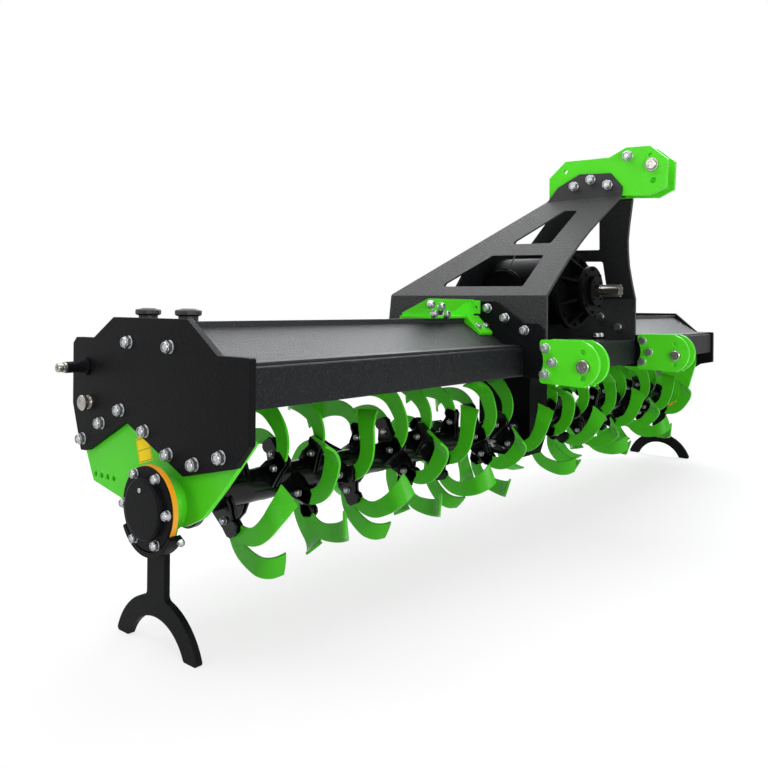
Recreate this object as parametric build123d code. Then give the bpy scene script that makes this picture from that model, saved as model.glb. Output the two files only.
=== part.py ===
from build123d import *
import math
import os

os.makedirs("parts", exist_ok=True)

# ------------------------------------------------------------------ frame
# X runs across the machine, -Y is the front (tractor side), Z is up.
# Lengths along Y and Z are measured from the rotor axis. Each node is moved by (0, Y_SHIFT, ROTOR_HEIGHT)
# when it is saved, so that the floor under the stands is Z = 0.
Y_SHIFT = 101.5
ROTOR_HEIGHT = 345.0

# ------------------------------------------------------------------ clearances
SEAT = 0.3                 # gap left where a round or sloping piece is seated
RUNNING = 0.05             # radial clearance of a running fit
SWEEP = 6.0                # least gap between the rotor and the frame beside it
PAST = 2.0                 # how far a cut runs past the faces that it opens

# ------------------------------------------------------------------ overall sizes
HALF_WIDTH = 1635.0        # to the outer face of an end plate
END_PLATE_T = 20.0
INNER_X = HALF_WIDTH - END_PLATE_T
BEARING_PLATE_T = 15.0

# beams
BEAM = 100.0               # front beam, square
BEAM_WALL = 8.0
BEAM_CORNER = 8.0
FRONT_Y = -293.0           # front face of the front beam
BEAM_TOP = 355.0
BEAM_UNDER = BEAM_TOP - BEAM
REAR_BEAM = 90.0
REAR_Y = 345.0             # front face of the rear beam
REAR_BEAM_TOP = 390.0

# hood
SHEET = 8.0
CREST = 438.0              # outer surface of the level top
CREASE_Y = -100.0          # where the front slope meets the level top
CREST_END_Y = 232.0
HOOD_LIP_H = 16.0
HOOD_LIP_T = 8.0

# headstock
HS_X = 386.0               # outer face of the upright lower part
HS_T = 12.0
HS_FOLD = 535.0            # height of the lower fold
TAB_X = 58.0               # outer face of the upright tab
TAB_FOLD = 900.0           # height of the upper fold
TAB_H = 100.0

# hitch
HITCH_PLATE_T = 15.0
LINK_PLATE_T = 15.0
LINK_GAP = 53.0
LINK_PIN_R = 14.2
LINK_PIN_Y, LINK_PIN_Z = -541.0, 305.0
TOP_PLATE_T = 15.0
TOP_PIN_R = 12.7
TOP_PIN_Y = -598.0
TOP_PIN_Z = TAB_FOLD + 103.0

# drive
SHAFT_Z = 558.0
INPUT_R = 22.2
CASE_X0, CASE_X1 = -44.0, 100.0
CENTRE_SHAFT_R = 35.0

# rotor
TUBE_R = 44.5
STUB_R = 30.0
SWING_R = 256.0
BLADE_T = 8.0
HOLDER_R = 125.0
HELIX_STEPS = 17           # steps between the two ends of one half of the rotor
HELIX_TURN = 62.2          # degrees from one blade to the next

# bearings and stands
FLANGE_R = 102.0
FLANGE_T = 7.0
NECK_R = 48.0
RING_T = 14.0
FLANGE_FACE_X = HALF_WIDTH + 51.0
STAND_T = 17.0
STAND_FACE_X = HALF_WIDTH + 23.0


# ------------------------------------------------------------------ helpers
def save(name, shape):
    export_step(shape.moved(Location((0, Y_SHIFT, ROTOR_HEIGHT))), f"parts/{name}.step")


def save_pair(name, left_shape):
    save(f"{name}_left", left_shape)
    save(f"{name}_right", mirror_x(left_shape))


def mirror_x(shape):
    return mirror(shape, about=Plane.YZ)


def prism_x(points, x0, x1):
    """A (y, z) outline carried from x0 to x1."""
    low, high = min(x0, x1), max(x0, x1)
    face = make_face(Polyline(*[(low, y, z) for y, z in points], close=True))
    return extrude(face, amount=high - low, dir=(1, 0, 0))


def prism_y(points, y0, y1):
    """An (x, z) outline carried from y0 to y1."""
    low, high = min(y0, y1), max(y0, y1)
    face = make_face(Polyline(*[(x, low, z) for x, z in points], close=True))
    return extrude(face, amount=high - low, dir=(0, 1, 0))


def group(shapes):
    """Like pieces that don't touch, as one shape."""
    return Compound([solid for shape in shapes for solid in shape.solids()])


def block(x0, x1, y0, y1, z0, z1):
    size = (abs(x1 - x0), abs(y1 - y0), abs(z1 - z0))
    middle = ((x0 + x1) / 2, (y0 + y1) / 2, (z0 + z1) / 2)
    return Location(middle) * Box(*size)


def rod_x(radius, x0, x1, y=0.0, z=0.0):
    return Location(((x0 + x1) / 2, y, z), (0, 90, 0)) * Cylinder(radius, abs(x1 - x0))


def rod_y(radius, y0, y1, x=0.0, z=SHAFT_Z):
    return Location((x, (y0 + y1) / 2, z), (90, 0, 0)) * Cylinder(radius, abs(y1 - y0))


def rod_z(radius, z0, z1, x, y):
    return Location((x, y, (z0 + z1) / 2)) * Cylinder(radius, abs(z1 - z0))


def hole_x(shape, radius, x0, x1, y, z):
    return shape - rod_x(radius, min(x0, x1) - PAST, max(x0, x1) + PAST, y, z)


def offset_line(points, distance):
    """The polyline moved sideways by distance, to the right of its direction, with mitred corners."""
    normals = []
    for (y0, z0), (y1, z1) in zip(points, points[1:]):
        run = math.hypot(y1 - y0, z1 - z0)
        normals.append(((z1 - z0) / run, -(y1 - y0) / run))
    moved = []
    for index, (y, z) in enumerate(points):
        before = normals[max(index - 1, 0)]
        after = normals[min(index, len(normals) - 1)]
        scale = distance / (1 + before[0] * after[0] + before[1] * after[1])
        moved.append((y + (before[0] + after[0]) * scale, z + (before[1] + after[1]) * scale))
    return moved


def soften(shape, axis, radius):
    """Round the edges that run along an axis."""
    return fillet(shape.edges().filter_by(axis), radius)


# ------------------------------------------------------------------ end plates
# The two plates differ: the left one reaches further forward. Columns: front Y of the plate, Y and drop below
# the beam where its front edge turns back, rise over the beam, Y where the slope starts, rise over the crest.
END_PLATES = {
    "left": dict(front=-318.0, turn_y=-268.0, front_drop=173.0, turn_drop=230.0, shoulder=22.0,
                 slope_y=-203.0, crest_y=-88.0, rise=21.0),
    "right": dict(front=-301.0, turn_y=-235.0, front_drop=152.0, turn_drop=166.0, shoulder=10.0,
                  slope_y=-215.0, crest_y=-97.0, rise=27.0),
}
ARCH_FRONT = (-75.0, 80.0)             # lower edge: front low point, middle, rear low point
ARCH_MIDDLE = (179.0, 187.0)
ARCH_REAR = (376.0, 86.0)
HEEL_Y, HEEL_Z = 404.0, 84.0
BACK_Y, BACK_Z = 450.0, 213.0
REAR_RISE = 11.0                       # over the rear beam
END_CORNER_R = 6.0


def end_plate(sizes):
    shoulder = BEAM_TOP + sizes["shoulder"]
    rear_top = REAR_BEAM_TOP + REAR_RISE
    outline = [(sizes["front"], shoulder), (sizes["front"], BEAM_TOP - sizes["front_drop"]),
               (sizes["turn_y"], BEAM_TOP - sizes["turn_drop"]), ARCH_FRONT, ARCH_MIDDLE, ARCH_REAR,
               (HEEL_Y, HEEL_Z), (BACK_Y, BACK_Z), (BACK_Y, rear_top - 18), (BACK_Y - 18, rear_top - 1),
               (REAR_Y - 5, rear_top), (CREST_END_Y + 8, CREST + sizes["rise"]),
               (sizes["crest_y"], CREST + sizes["rise"]), (sizes["slope_y"], shoulder)]
    return soften(prism_x(outline, -INNER_X, -HALF_WIDTH), Axis.X, END_CORNER_R)


save("end_plate_left", end_plate(END_PLATES["left"]))
save("end_plate_right", mirror_x(end_plate(END_PLATES["right"])))

# ------------------------------------------------------------------ bearing plates, green
GREEN_TOP = BEAM_UNDER - 5.0
GREEN_LOWER_EDGE = [(-131, -11), (-112, -23), (-60, -47), (0, -61), (80, -59), (236, -23), (368, 1),
                    (377, 16), (409, 79), (425, 125)]
GREEN_FRONT_LEFT = [(-278, GREEN_TOP), (-283, 200), (-312, 183), (-206, 65)]
GREEN_FRONT_RIGHT = [(-215, GREEN_TOP), (-215, 187), (-180, 62)]
ADJUST_HOLES_Y = [265.0, 296.0, 327.0, 358.0]
ADJUST_HOLES_Z = 21.0
ADJUST_HOLE_R = 8.0
STUB_OPENING_R = STUB_R + 5.0



def bearing_plate(front_edge):
    face_x = -INNER_X + BEARING_PLATE_T
    outline = front_edge + GREEN_LOWER_EDGE + [(GREEN_LOWER_EDGE[-1][0], GREEN_TOP)]
    plate = hole_x(prism_x(outline, -INNER_X, face_x), STUB_OPENING_R, -INNER_X, face_x, 0, 0)
    for hole_y in ADJUST_HOLES_Y:
        plate = hole_x(plate, ADJUST_HOLE_R, -INNER_X, face_x, hole_y, ADJUST_HOLES_Z)
    return plate


save("bearing_plate_left", bearing_plate(GREEN_FRONT_LEFT))
save("bearing_plate_right", mirror_x(bearing_plate(GREEN_FRONT_RIGHT)))

# ------------------------------------------------------------------ bearing housings and amber rings
CAP_R = FLANGE_R - 26.0
CAP_T = 14.0
BORE_DEPTH_WALL = 6.0
RING_R = FLANGE_R + 2.0
bore_bottom_x = -FLANGE_FACE_X + BORE_DEPTH_WALL

flange_back = -FLANGE_FACE_X + FLANGE_T
housing = rod_x(FLANGE_R, -FLANGE_FACE_X, flange_back)
housing += rod_x(NECK_R, flange_back, -INNER_X)
housing += rod_x(CAP_R, -FLANGE_FACE_X - CAP_T, -FLANGE_FACE_X)
housing -= rod_x(STUB_R + RUNNING, bore_bottom_x, -INNER_X + PAST)
save_pair("bearing_housing", housing)

ring = rod_x(RING_R, flange_back, flange_back + RING_T)
ring -= rod_x(NECK_R, flange_back - PAST, flange_back + RING_T + PAST)
save_pair("bearing_ring", ring)

# ------------------------------------------------------------------ parking stands
# A saddle strap round the bearing's ring, a leg and an arched foot.
SADDLE_T = 13.0
SADDLE_HALF_ANGLE = 60.0
SADDLE_LAP = 7.0           # how far the strap reaches over the leg
LEG_HALF = 36.0
LEG_SINK = 6.0             # how far the leg runs into the strap and the foot
WEDGE_REACH = 1.6          # size of the wedge that cuts the strap's ends, in strap radii
FOOT_CENTRE_Z = -ROTOR_HEIGHT - 52.0
FOOT_OUTER_R = 178.0
FOOT_INNER_R = 127.0
FOOT_TIP_R = 8.0
LEG_FOOT_R = 15.0


def stand_leg(x0, x1, top):
    """The leg and the foot, whose arch is cut off level with the floor."""
    floor = -ROTOR_HEIGHT
    foot = rod_x(FOOT_OUTER_R, x0, x1, 0, FOOT_CENTRE_Z)
    foot -= rod_x(FOOT_INNER_R, x0 - PAST, x1 + PAST, 0, FOOT_CENTRE_Z)
    foot &= block(x0, x1, -FOOT_OUTER_R, FOOT_OUTER_R, floor, floor + FOOT_OUTER_R)
    foot = fillet(foot.edges().filter_by(Axis.X), FOOT_TIP_R)
    foot += block(x0, x1, -LEG_HALF, LEG_HALF, FOOT_CENTRE_Z + FOOT_OUTER_R - 2 * LEG_SINK, top)
    corners = foot.edges().filter_by(Axis.X).filter_by(lambda edge: abs(abs(edge.center().Y) - LEG_HALF) < 1)
    return fillet(corners.sort_by(Axis.Z)[:2], LEG_FOOT_R)


def stand():
    x0, x1 = -FLANGE_FACE_X, -STAND_FACE_X + SADDLE_LAP
    bore_r = RING_R + SEAT
    outer_r = bore_r + SADDLE_T
    bore = rod_x(bore_r, x0 - PAST, x1 + PAST)
    reach = outer_r * WEDGE_REACH
    side = reach * math.sin(math.radians(SADDLE_HALF_ANGLE))
    drop = reach * math.cos(math.radians(SADDLE_HALF_ANGLE))
    corners = [(0, 0), (-side, -drop), (-side, -reach), (side, -reach), (side, -drop)]
    wedge = prism_x(corners, x0 - PAST, x1 + PAST)
    saddle = (rod_x(outer_r, x0, x1) - bore) & wedge
    return saddle + (stand_leg(-STAND_FACE_X, -STAND_FACE_X + STAND_T, LEG_SINK - outer_r) - bore)


save_pair("stand", stand())


# ------------------------------------------------------------------ beams
def tube_beam(y0, top, size):
    beam = soften(block(-INNER_X, INNER_X, y0, y0 + size, top - size, top), Axis.X, BEAM_CORNER)
    hollow = block(-INNER_X - PAST, INNER_X + PAST, y0 + BEAM_WALL, y0 + size - BEAM_WALL,
                   top - size + BEAM_WALL, top - BEAM_WALL)
    return beam - hollow


save("front_beam", tube_beam(FRONT_Y, BEAM_TOP, BEAM))
save("rear_beam", tube_beam(REAR_Y, REAR_BEAM_TOP, REAR_BEAM))

# ------------------------------------------------------------------ hood panels
# Outer surface of the sheet: front flange on the beam, slope, level top, rear slope, flange on the rear beam.
FLANGE_END_Y = FRONT_Y + 12.0
SLOPE_FOOT_Y = -215.0
HOOD_LINE = [(FLANGE_END_Y, BEAM_TOP + SHEET), (SLOPE_FOOT_Y, BEAM_TOP + SHEET), (CREASE_Y, CREST),
             (CREST_END_Y, CREST), (REAR_Y + 2, REAR_BEAM_TOP + SHEET), (REAR_Y + 83, REAR_BEAM_TOP + SHEET)]


def slope_height(y):
    """Height of the hood's front slope."""
    share = (y - SLOPE_FOOT_Y) / (CREASE_Y - SLOPE_FOOT_Y)
    return BEAM_TOP + SHEET + share * (CREST - BEAM_TOP - SHEET)


hood = prism_x(HOOD_LINE + list(reversed(offset_line(HOOD_LINE, SHEET))), -INNER_X, -HS_X)
hood += block(-INNER_X, -HS_X, CREASE_Y, CREASE_Y + HOOD_LIP_T, CREST - SHEET / 2, CREST + HOOD_LIP_H)
save_pair("hood", hood)

# ------------------------------------------------------------------ headstock
# Each plate stands upright, leans inwards from the lower fold to the upper one, and ends in an upright tab.
# Columns: Y, share of the way from the lower fold to the upper one.
FRONT_CURVE = [(-371, 0.01), (-380, 0.178), (-392, 0.356), (-408, 0.507), (-422, 0.616), (-444, 0.745),
               (-490, 0.992)]
UPPER_WINDOW = [(-123, 0.537), (-287, 0.879), (-343, 0.871), (-293, 0.526)]
LOWER_WINDOW = [(97, 0.096), (-70, 0.419), (-289, 0.403), (-262, 0.088)]
WINDOW_CORNER_R = 7.0


def between_folds(points):
    return [(y, HS_FOLD + share * (TAB_FOLD - HS_FOLD)) for y, share in points]


def headstock_plate():
    top = TAB_FOLD + TAB_H
    front_y = FRONT_CURVE[0][0]
    section = [(-HS_X, BEAM_TOP), (-HS_X, HS_FOLD), (-TAB_X, TAB_FOLD), (-TAB_X, top)]
    bent = prism_y(section + list(reversed(offset_line(section, HS_T))), -500, REAR_Y + PAST)
    tab = [(-492, TAB_FOLD + 36), (-449, TAB_FOLD + 86), (-329, TAB_FOLD + 94), (-241, TAB_FOLD + 52),
           (-199, TAB_FOLD + 4)]
    foot = [(312, HS_FOLD + 6), (322, CREST + 9), (REAR_Y, REAR_BEAM_TOP), (REAR_Y, BEAM_TOP),
            (front_y, BEAM_TOP)]
    x0, x1 = -HS_X - PAST, -TAB_X + HS_T + PAST
    plate = bent & prism_x(between_folds(FRONT_CURVE) + tab + foot, x0, x1)
    for window in (UPPER_WINDOW, LOWER_WINDOW):
        plate -= soften(prism_x(between_folds(window), x0, x1), Axis.X, WINDOW_CORNER_R)
    return plate


save_pair("headstock_plate", headstock_plate())

# ------------------------------------------------------------------ hitch plates
# A plate outside each headstock plate, from the hood's slope down the front of the beam, with the spacer that
# the outer lower-link plate is bolted to. Distances of the spacer are from the lower-link pin.
LINK_OUTER_X = HS_X + LINK_GAP + LINK_PLATE_T
SPACER_Y0, SPACER_Y1 = LINK_PIN_Y + 94.0, LINK_PIN_Y + 151.0
SPACER_Z0, SPACER_Z1 = LINK_PIN_Z - 48.0, LINK_PIN_Z + 70.0
HITCH_HEEL_Y = -115.0


def hitch_plate():
    top = HS_FOLD - 21.0
    under = BEAM_UNDER - 4.0
    shelf = SPACER_Z1 + 8.0
    outline = [(HITCH_HEEL_Y, slope_height(HITCH_HEEL_Y)), (HITCH_HEEL_Y, top), (-180, top),
               (-289, top - 75), (-342, top - 75), (-364, top - 95), (-364, shelf), (SPACER_Y0, shelf),
               (SPACER_Y0, under), (FRONT_Y, under),
               (FRONT_Y, BEAM_TOP), (FLANGE_END_Y, BEAM_TOP), HOOD_LINE[0], HOOD_LINE[1]]
    plate = prism_x(outline, -HS_X - HITCH_PLATE_T, -HS_X)
    spacer = block(-HS_X - LINK_GAP, -HS_X - HITCH_PLATE_T, SPACER_Y0, SPACER_Y1, SPACER_Z0, SPACER_Z1)
    return plate + spacer


save_pair("hitch_plate", hitch_plate())

# ------------------------------------------------------------------ lower link plates and pins
# Outline, holes and the hollow of the rear edge are measured from the pin.
LINK_OUTLINE = [(5, 83), (157, 82), (157, -62), (-5, -67)]
LINK_NOSE_R = 75.0
LINK_NOSE = (24.0, 8.0)
LINK_HOLLOW_R = 73.0
LINK_HOLLOW = (217.0, 11.0)
LINK_CORNER_R = 11.0
LINK_HOLES = [(3.5, 46.0), (3.5, -37.0)]
LINK_HOLE_R = 10.0


def link_plate(x0, x1):
    plate = prism_x([(LINK_PIN_Y + y, LINK_PIN_Z + z) for y, z in LINK_OUTLINE], x0, x1)
    hollow_y, hollow_z = LINK_PIN_Y + LINK_HOLLOW[0], LINK_PIN_Z + LINK_HOLLOW[1]
    plate -= rod_x(LINK_HOLLOW_R, x0 - PAST, x1 + PAST, hollow_y, hollow_z)
    middle_y = hollow_y - 2 * LINK_HOLLOW_R
    rear = plate.edges().filter_by(Axis.X).filter_by(lambda edge: edge.center().Y > middle_y)
    plate = fillet(rear, LINK_CORNER_R)
    plate += rod_x(LINK_NOSE_R, x0, x1, LINK_PIN_Y + LINK_NOSE[0], LINK_PIN_Z + LINK_NOSE[1])
    plate = hole_x(plate, LINK_PIN_R + RUNNING, x0, x1, LINK_PIN_Y, LINK_PIN_Z)
    for y, z in LINK_HOLES:
        plate = hole_x(plate, LINK_HOLE_R, x0, x1, LINK_PIN_Y + y, LINK_PIN_Z + z)
    return plate


outer_link = link_plate(-LINK_OUTER_X, -LINK_OUTER_X + LINK_PLATE_T)
inner_link = link_plate(-HS_X, -HS_X + LINK_PLATE_T)
save_pair("lower_link_plates", group([outer_link, inner_link]))

PIN_HEAD_R = 22.0
PIN_HEAD_T = 14.0
PIN_TAIL = 14.0
link_pin = rod_x(LINK_PIN_R, -LINK_OUTER_X, -HS_X + LINK_PLATE_T + PIN_TAIL, LINK_PIN_Y, LINK_PIN_Z)
link_pin += rod_x(PIN_HEAD_R, -LINK_OUTER_X - PIN_HEAD_T, -LINK_OUTER_X, LINK_PIN_Y, LINK_PIN_Z)
save_pair("lower_link_pin", link_pin)

# ------------------------------------------------------------------ top link plates, block and pin
# Outline and holes are (Y, height over the upper fold).
TAB_INNER_X = TAB_X - HS_T
TOP_INNER_X = TAB_INNER_X - TOP_PLATE_T
TOP_OUTLINE = [(-593, -6), (-649, 19), (-653, 117), (-592, 170), (-504, 175), (-439, 146), (-265, 150),
               (-197, 92), (-197, 2), (-490, 2)]
TOP_HOLES = [(-603, 47, 11.0), (-592, 137, 8.0), (-265, 112, 8.0)]
TOP_BLOCK_Y = (-470.0, -240.0)
TOP_BLOCK_Z = (6.0, 85.0)


def top_link_plate(x0, x1):
    plate = prism_x([(y, TAB_FOLD + z) for y, z in TOP_OUTLINE], x0, x1)
    plate = hole_x(plate, TOP_PIN_R + RUNNING, x0, x1, TOP_PIN_Y, TOP_PIN_Z)
    for y, z, radius in TOP_HOLES:
        plate = hole_x(plate, radius, x0, x1, y, TAB_FOLD + z)
    return plate


top_plate = top_link_plate(-TAB_INNER_X, -TOP_INNER_X)
save("top_link_plates", group([top_plate, mirror_x(top_plate)]))
top_block = block(-TOP_INNER_X, TOP_INNER_X, *TOP_BLOCK_Y, TAB_FOLD + TOP_BLOCK_Z[0], TAB_FOLD + TOP_BLOCK_Z[1])
save("top_link_block", top_block)

TOP_PIN_HEAD_R = 20.0
TOP_PIN_HEAD_T = 16.0
TOP_PIN_TAIL = 18.0
top_pin = rod_x(TOP_PIN_R, -TAB_INNER_X, TAB_INNER_X + TOP_PIN_TAIL, TOP_PIN_Y, TOP_PIN_Z)
top_pin += rod_x(TOP_PIN_HEAD_R, -TAB_INNER_X - TOP_PIN_HEAD_T, -TAB_INNER_X, TOP_PIN_Y, TOP_PIN_Z)
save("top_link_pin", top_pin)

# ------------------------------------------------------------------ centre deck
# It reaches over the front beam and folds down in front of it, level with the headstock plates' front edges.
CASE_HALF_Y = 118.0
DECK_FRONT_Y = FRONT_CURVE[0][0]
DECK_DROP = 91.0           # how far the fold reaches below the beam's top
DECK_FOLD_R = 7.0
deck_half = HS_X - HS_T
deck_top = BEAM_TOP + SHEET
deck = block(-deck_half, deck_half, DECK_FRONT_Y, REAR_Y, BEAM_TOP, deck_top)
deck += block(-deck_half, deck_half, DECK_FRONT_Y, DECK_FRONT_Y + SHEET, BEAM_TOP - DECK_DROP, deck_top)
fold = deck.edges().filter_by(Axis.X).filter_by(lambda edge: edge.center().Y < DECK_FRONT_Y + 1)
deck = fillet(fold.sort_by(Axis.Z)[-1:], DECK_FOLD_R)
deck -= block(CASE_X0 - SEAT, CASE_X1 + SEAT, -CASE_HALF_Y - SEAT, CASE_HALF_Y + SEAT,
              BEAM_TOP - PAST, deck_top + PAST)
save("centre_deck", deck)

# ------------------------------------------------------------------ gearbox
BIG_FLANGE_R = 147.0
BIG_FLANGE_Y = -286.0
BIG_FLANGE_T = 10.0        # of each of the two flanges that meet here
BODY_R = 130.0
BODY_Y1 = 60.0
BASE_HALF_X = 120.0
BASE_Y = (-200.0, 150.0)
SIDE_COVER_Y = -60.0
SIDE_COVER_R = 84.0
SIDE_COVER_X = 150.0
SIDE_COVER_T = 22.0
joint_y = BIG_FLANGE_Y + BIG_FLANGE_T

gearbox = rod_y(BODY_R, joint_y + BIG_FLANGE_T, BODY_Y1)
gearbox += block(-BASE_HALF_X, BASE_HALF_X, *BASE_Y, BEAM_TOP + SHEET, SHAFT_Z - 60)
gearbox += rod_x(SIDE_COVER_R - 8, -SIDE_COVER_X, SIDE_COVER_X, SIDE_COVER_Y, SHAFT_Z)
gearbox += rod_y(BIG_FLANGE_R, joint_y, joint_y + BIG_FLANGE_T)
save("gearbox_housing", gearbox)

cover = rod_x(SIDE_COVER_R, -SIDE_COVER_X - SIDE_COVER_T, -SIDE_COVER_X, SIDE_COVER_Y, SHAFT_Z)
save("gearbox_side_covers", group([cover, mirror_x(cover)]))

# cross plate between the headstock plates, cut round the gearbox
CROSS_PLATE_Y = (28.0, 38.0)
CROSS_PLATE_TOP = HS_FOLD + 185.0


def headstock_inside(z):
    """Distance from the middle to a headstock plate's inner face, above the lower fold."""
    lean = (HS_X - TAB_X) / (TAB_FOLD - HS_FOLD)
    return HS_X - HS_T * math.hypot(1, lean) - (z - HS_FOLD) * lean


def cross_plate():
    foot, shoulder, top = deck_half, headstock_inside(HS_FOLD), headstock_inside(CROSS_PLATE_TOP)
    right = [(foot, BEAM_TOP + SHEET), (foot, HS_FOLD - HS_T), (shoulder, HS_FOLD), (top, CROSS_PLATE_TOP)]
    plate = prism_y(right + [(-x, z) for x, z in reversed(right)], *CROSS_PLATE_Y)
    plate -= rod_y(BODY_R + SEAT, CROSS_PLATE_Y[0] - PAST, CROSS_PLATE_Y[1] + PAST)
    base = BASE_HALF_X + SEAT
    return plate - block(-base, base, *CROSS_PLATE_Y, BEAM_TOP, SHAFT_Z)


save("cross_plate", cross_plate())

# input bearing housing: big flange, ribbed tube, small flange and seal cover round the shaft
BEARING_TUBE_R = 68.0
SMALL_FLANGE_R = 93.0
SMALL_FLANGE_Y = -359.0
SMALL_FLANGE_T = 16.0
SEAL_R = 56.0
SEAL_T = 18.0
INPUT_BORE_R = INPUT_R + 1.8
RIBS = 8
RIB_T = 9.0
small_back = SMALL_FLANGE_Y + SMALL_FLANGE_T
seal_face = SMALL_FLANGE_Y - SEAL_T

front = rod_y(BIG_FLANGE_R, BIG_FLANGE_Y, joint_y)
front += rod_y(BEARING_TUBE_R, small_back, BIG_FLANGE_Y)
front += rod_y(SMALL_FLANGE_R, SMALL_FLANGE_Y, small_back)
front += rod_y(SEAL_R, seal_face, SMALL_FLANGE_Y)
rib = prism_x([(small_back, BEARING_TUBE_R - 8), (small_back, SMALL_FLANGE_R - 8),
               (BIG_FLANGE_Y, BIG_FLANGE_R - 10), (BIG_FLANGE_Y, BEARING_TUBE_R - 8)], -RIB_T / 2, RIB_T / 2)
for index in range(RIBS):
    front += Location((0, 0, SHAFT_Z)) * Rotation(0, 360.0 / RIBS * (index + 0.5), 0) * rib
front -= rod_y(INPUT_BORE_R, seal_face - PAST, joint_y + PAST)
save("input_bearing_housing", front)

# ------------------------------------------------------------------ input shaft
SPLINES = 6
SPLINE_ROOT_R = 18.3
SPLINE_W = 11.5
SPLINE_END_Y = seal_face - 15.0
SHAFT_TIP_Y = SPLINE_END_Y - 76.0

shaft = rod_y(INPUT_R, SPLINE_END_Y, joint_y)
splined = rod_y(SPLINE_ROOT_R, SHAFT_TIP_Y, SPLINE_END_Y)
tooth = block(-SPLINE_W / 2, SPLINE_W / 2, SHAFT_TIP_Y, SPLINE_END_Y, SPLINE_ROOT_R - 2, INPUT_R + 1)
for index in range(SPLINES):
    splined += Location((0, 0, SHAFT_Z)) * Rotation(0, 360.0 / SPLINES * index, 0) * tooth
shaft += splined & rod_y(INPUT_R, SHAFT_TIP_Y, SPLINE_END_Y)
save("pto_shaft", shaft)

# ------------------------------------------------------------------ drive case
CASE_BOTTOM = -102.0
CASE_WAIST = -15.0
case_top = BEAM_TOP + SHEET
case_outline = [(-CASE_HALF_Y, case_top), (-CASE_HALF_Y, CASE_WAIST), (-CASE_HALF_Y + 28, CASE_BOTTOM),
                (CASE_HALF_Y - 28, CASE_BOTTOM), (CASE_HALF_Y, CASE_WAIST), (CASE_HALF_Y, case_top)]
case = hole_x(prism_x(case_outline, CASE_X0, CASE_X1), CENTRE_SHAFT_R + RUNNING, CASE_X0, CASE_X1, 0, 0)
save("drive_case", case)

# ------------------------------------------------------------------ rotor shaft and tubes
# The centre shaft passes through the drive case and has a hub at each side, which a tube's flange is bolted to.
HUB_T = 14.0
HUB_R = 80.0
TUBE_FLANGE_T = 12.0
TUBE_FLANGE_R = 80.0
TUBE_END_GAP = 40.0        # from the tube's end to the inside of the end plate
STUB_END_GAP = 4.0
hub_x = {"left": CASE_X0 - SWEEP - 2, "right": CASE_X1 + SWEEP + 2}
sides = {"left": -1, "right": 1}

centre_shaft = rod_x(CENTRE_SHAFT_R, hub_x["left"], hub_x["right"])
for side, sign in sides.items():
    centre_shaft += rod_x(HUB_R, hub_x[side], hub_x[side] + sign * HUB_T)
save("rotor_shaft", centre_shaft)

for side, sign in sides.items():
    face = hub_x[side] + sign * HUB_T
    tube_end = sign * (INNER_X - TUBE_END_GAP)
    tube = rod_x(TUBE_R, face, tube_end)
    tube += rod_x(TUBE_FLANGE_R, face, face + sign * TUBE_FLANGE_T)
    tube += rod_x(STUB_R, tube_end, sign * (-bore_bottom_x - STUB_END_GAP))
    save(f"rotor_tube_{side}", tube)

# ------------------------------------------------------------------ blades
# A blade is a strip that curves in its own plane, widens towards its tip and rolls sideways over a slanting
# bend line. It is drawn in a holder that points up: y runs the way in which the blade sweeps.
ROOT_R = 57.6              # inner end of the strip
ROOT_Y = -4.5
ROOT_HEADING = 2.2         # degrees from the radial direction towards +y
STRAIGHT = 27.0            # first stretch, through the holder
CURVE_1_R = 84.0
CURVE_1_LENGTH = 121.1
CURVE_2_R = 223.5
STRIP_LENGTH = 295.6       # along the middle line from the inner end
ROOT_W = 35.0
TIP_W = 65.1
END_SLANT = 13.0           # the end is cut back by this at the outer edge and runs on at the inner one
BEND_AT = 203.6            # along the middle line
BEND_SLANT = 10.0          # degrees between the middle line and the direction in which the strip rolls
BEND_R = 68.0
SECTIONS = [0.0, 0.2, 0.36, 0.5, 0.6, 0.7, 0.8, 0.9, 1.0]


def middle_line(s):
    """Point (y, z) and heading in radians at length s along the strip."""
    heading = math.radians(ROOT_HEADING)
    run = min(s, STRAIGHT)
    y = ROOT_Y + run * math.sin(heading)
    z = ROOT_R + run * math.cos(heading)
    left = s - run
    for radius, length in ((CURVE_1_R, CURVE_1_LENGTH), (CURVE_2_R, STRIP_LENGTH)):
        turn = min(left, length) / radius
        y += radius * (math.cos(heading) - math.cos(heading + turn))
        z += radius * (math.sin(heading + turn) - math.sin(heading))
        heading += turn
        left -= min(left, length)
    return y, z, heading


def strip_point(share, edge):
    """A point of the flat strip: edge is -1 at its outer edge and 1 at its inner edge."""
    s = share * (STRIP_LENGTH + edge * END_SLANT)
    y, z, heading = middle_line(s)
    half = (ROOT_W + (TIP_W - ROOT_W) * share) / 2
    return y + edge * half * math.cos(heading), z - edge * half * math.sin(heading)


def rolled(y, z):
    """The flat point carried round the bend: its place and the sheet's normal."""
    bend_y, bend_z, heading = middle_line(BEND_AT)
    heading -= math.radians(BEND_SLANT)
    along = (math.sin(heading), math.cos(heading))
    past = (y - bend_y) * along[0] + (z - bend_z) * along[1]
    if past <= 0:
        return Vector(0, y, z), Vector(1, 0, 0)
    turn = past / BEND_R
    back = BEND_R * math.sin(turn) - past
    place = Vector(BEND_R * (1 - math.cos(turn)), y + along[0] * back, z + along[1] * back)
    return place, Vector(math.cos(turn), -math.sin(turn) * along[0], -math.sin(turn) * along[1])


def blade():
    """One blade that bends towards +x."""
    sections = []
    for share in SECTIONS:
        outer, outer_normal = rolled(*strip_point(share, -1))
        inner, inner_normal = rolled(*strip_point(share, 1))
        step = (outer_normal + inner_normal).normalized() * (BLADE_T / 2)
        corners = [outer + step, inner + step, inner - step, outer - step]
        sections.append(make_face(Polyline(*corners, close=True)))
    strip = loft(sections, ruled=True)
    return strip & rod_x(SWING_R, -BEND_R * 2, BEND_R * 2)


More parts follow.
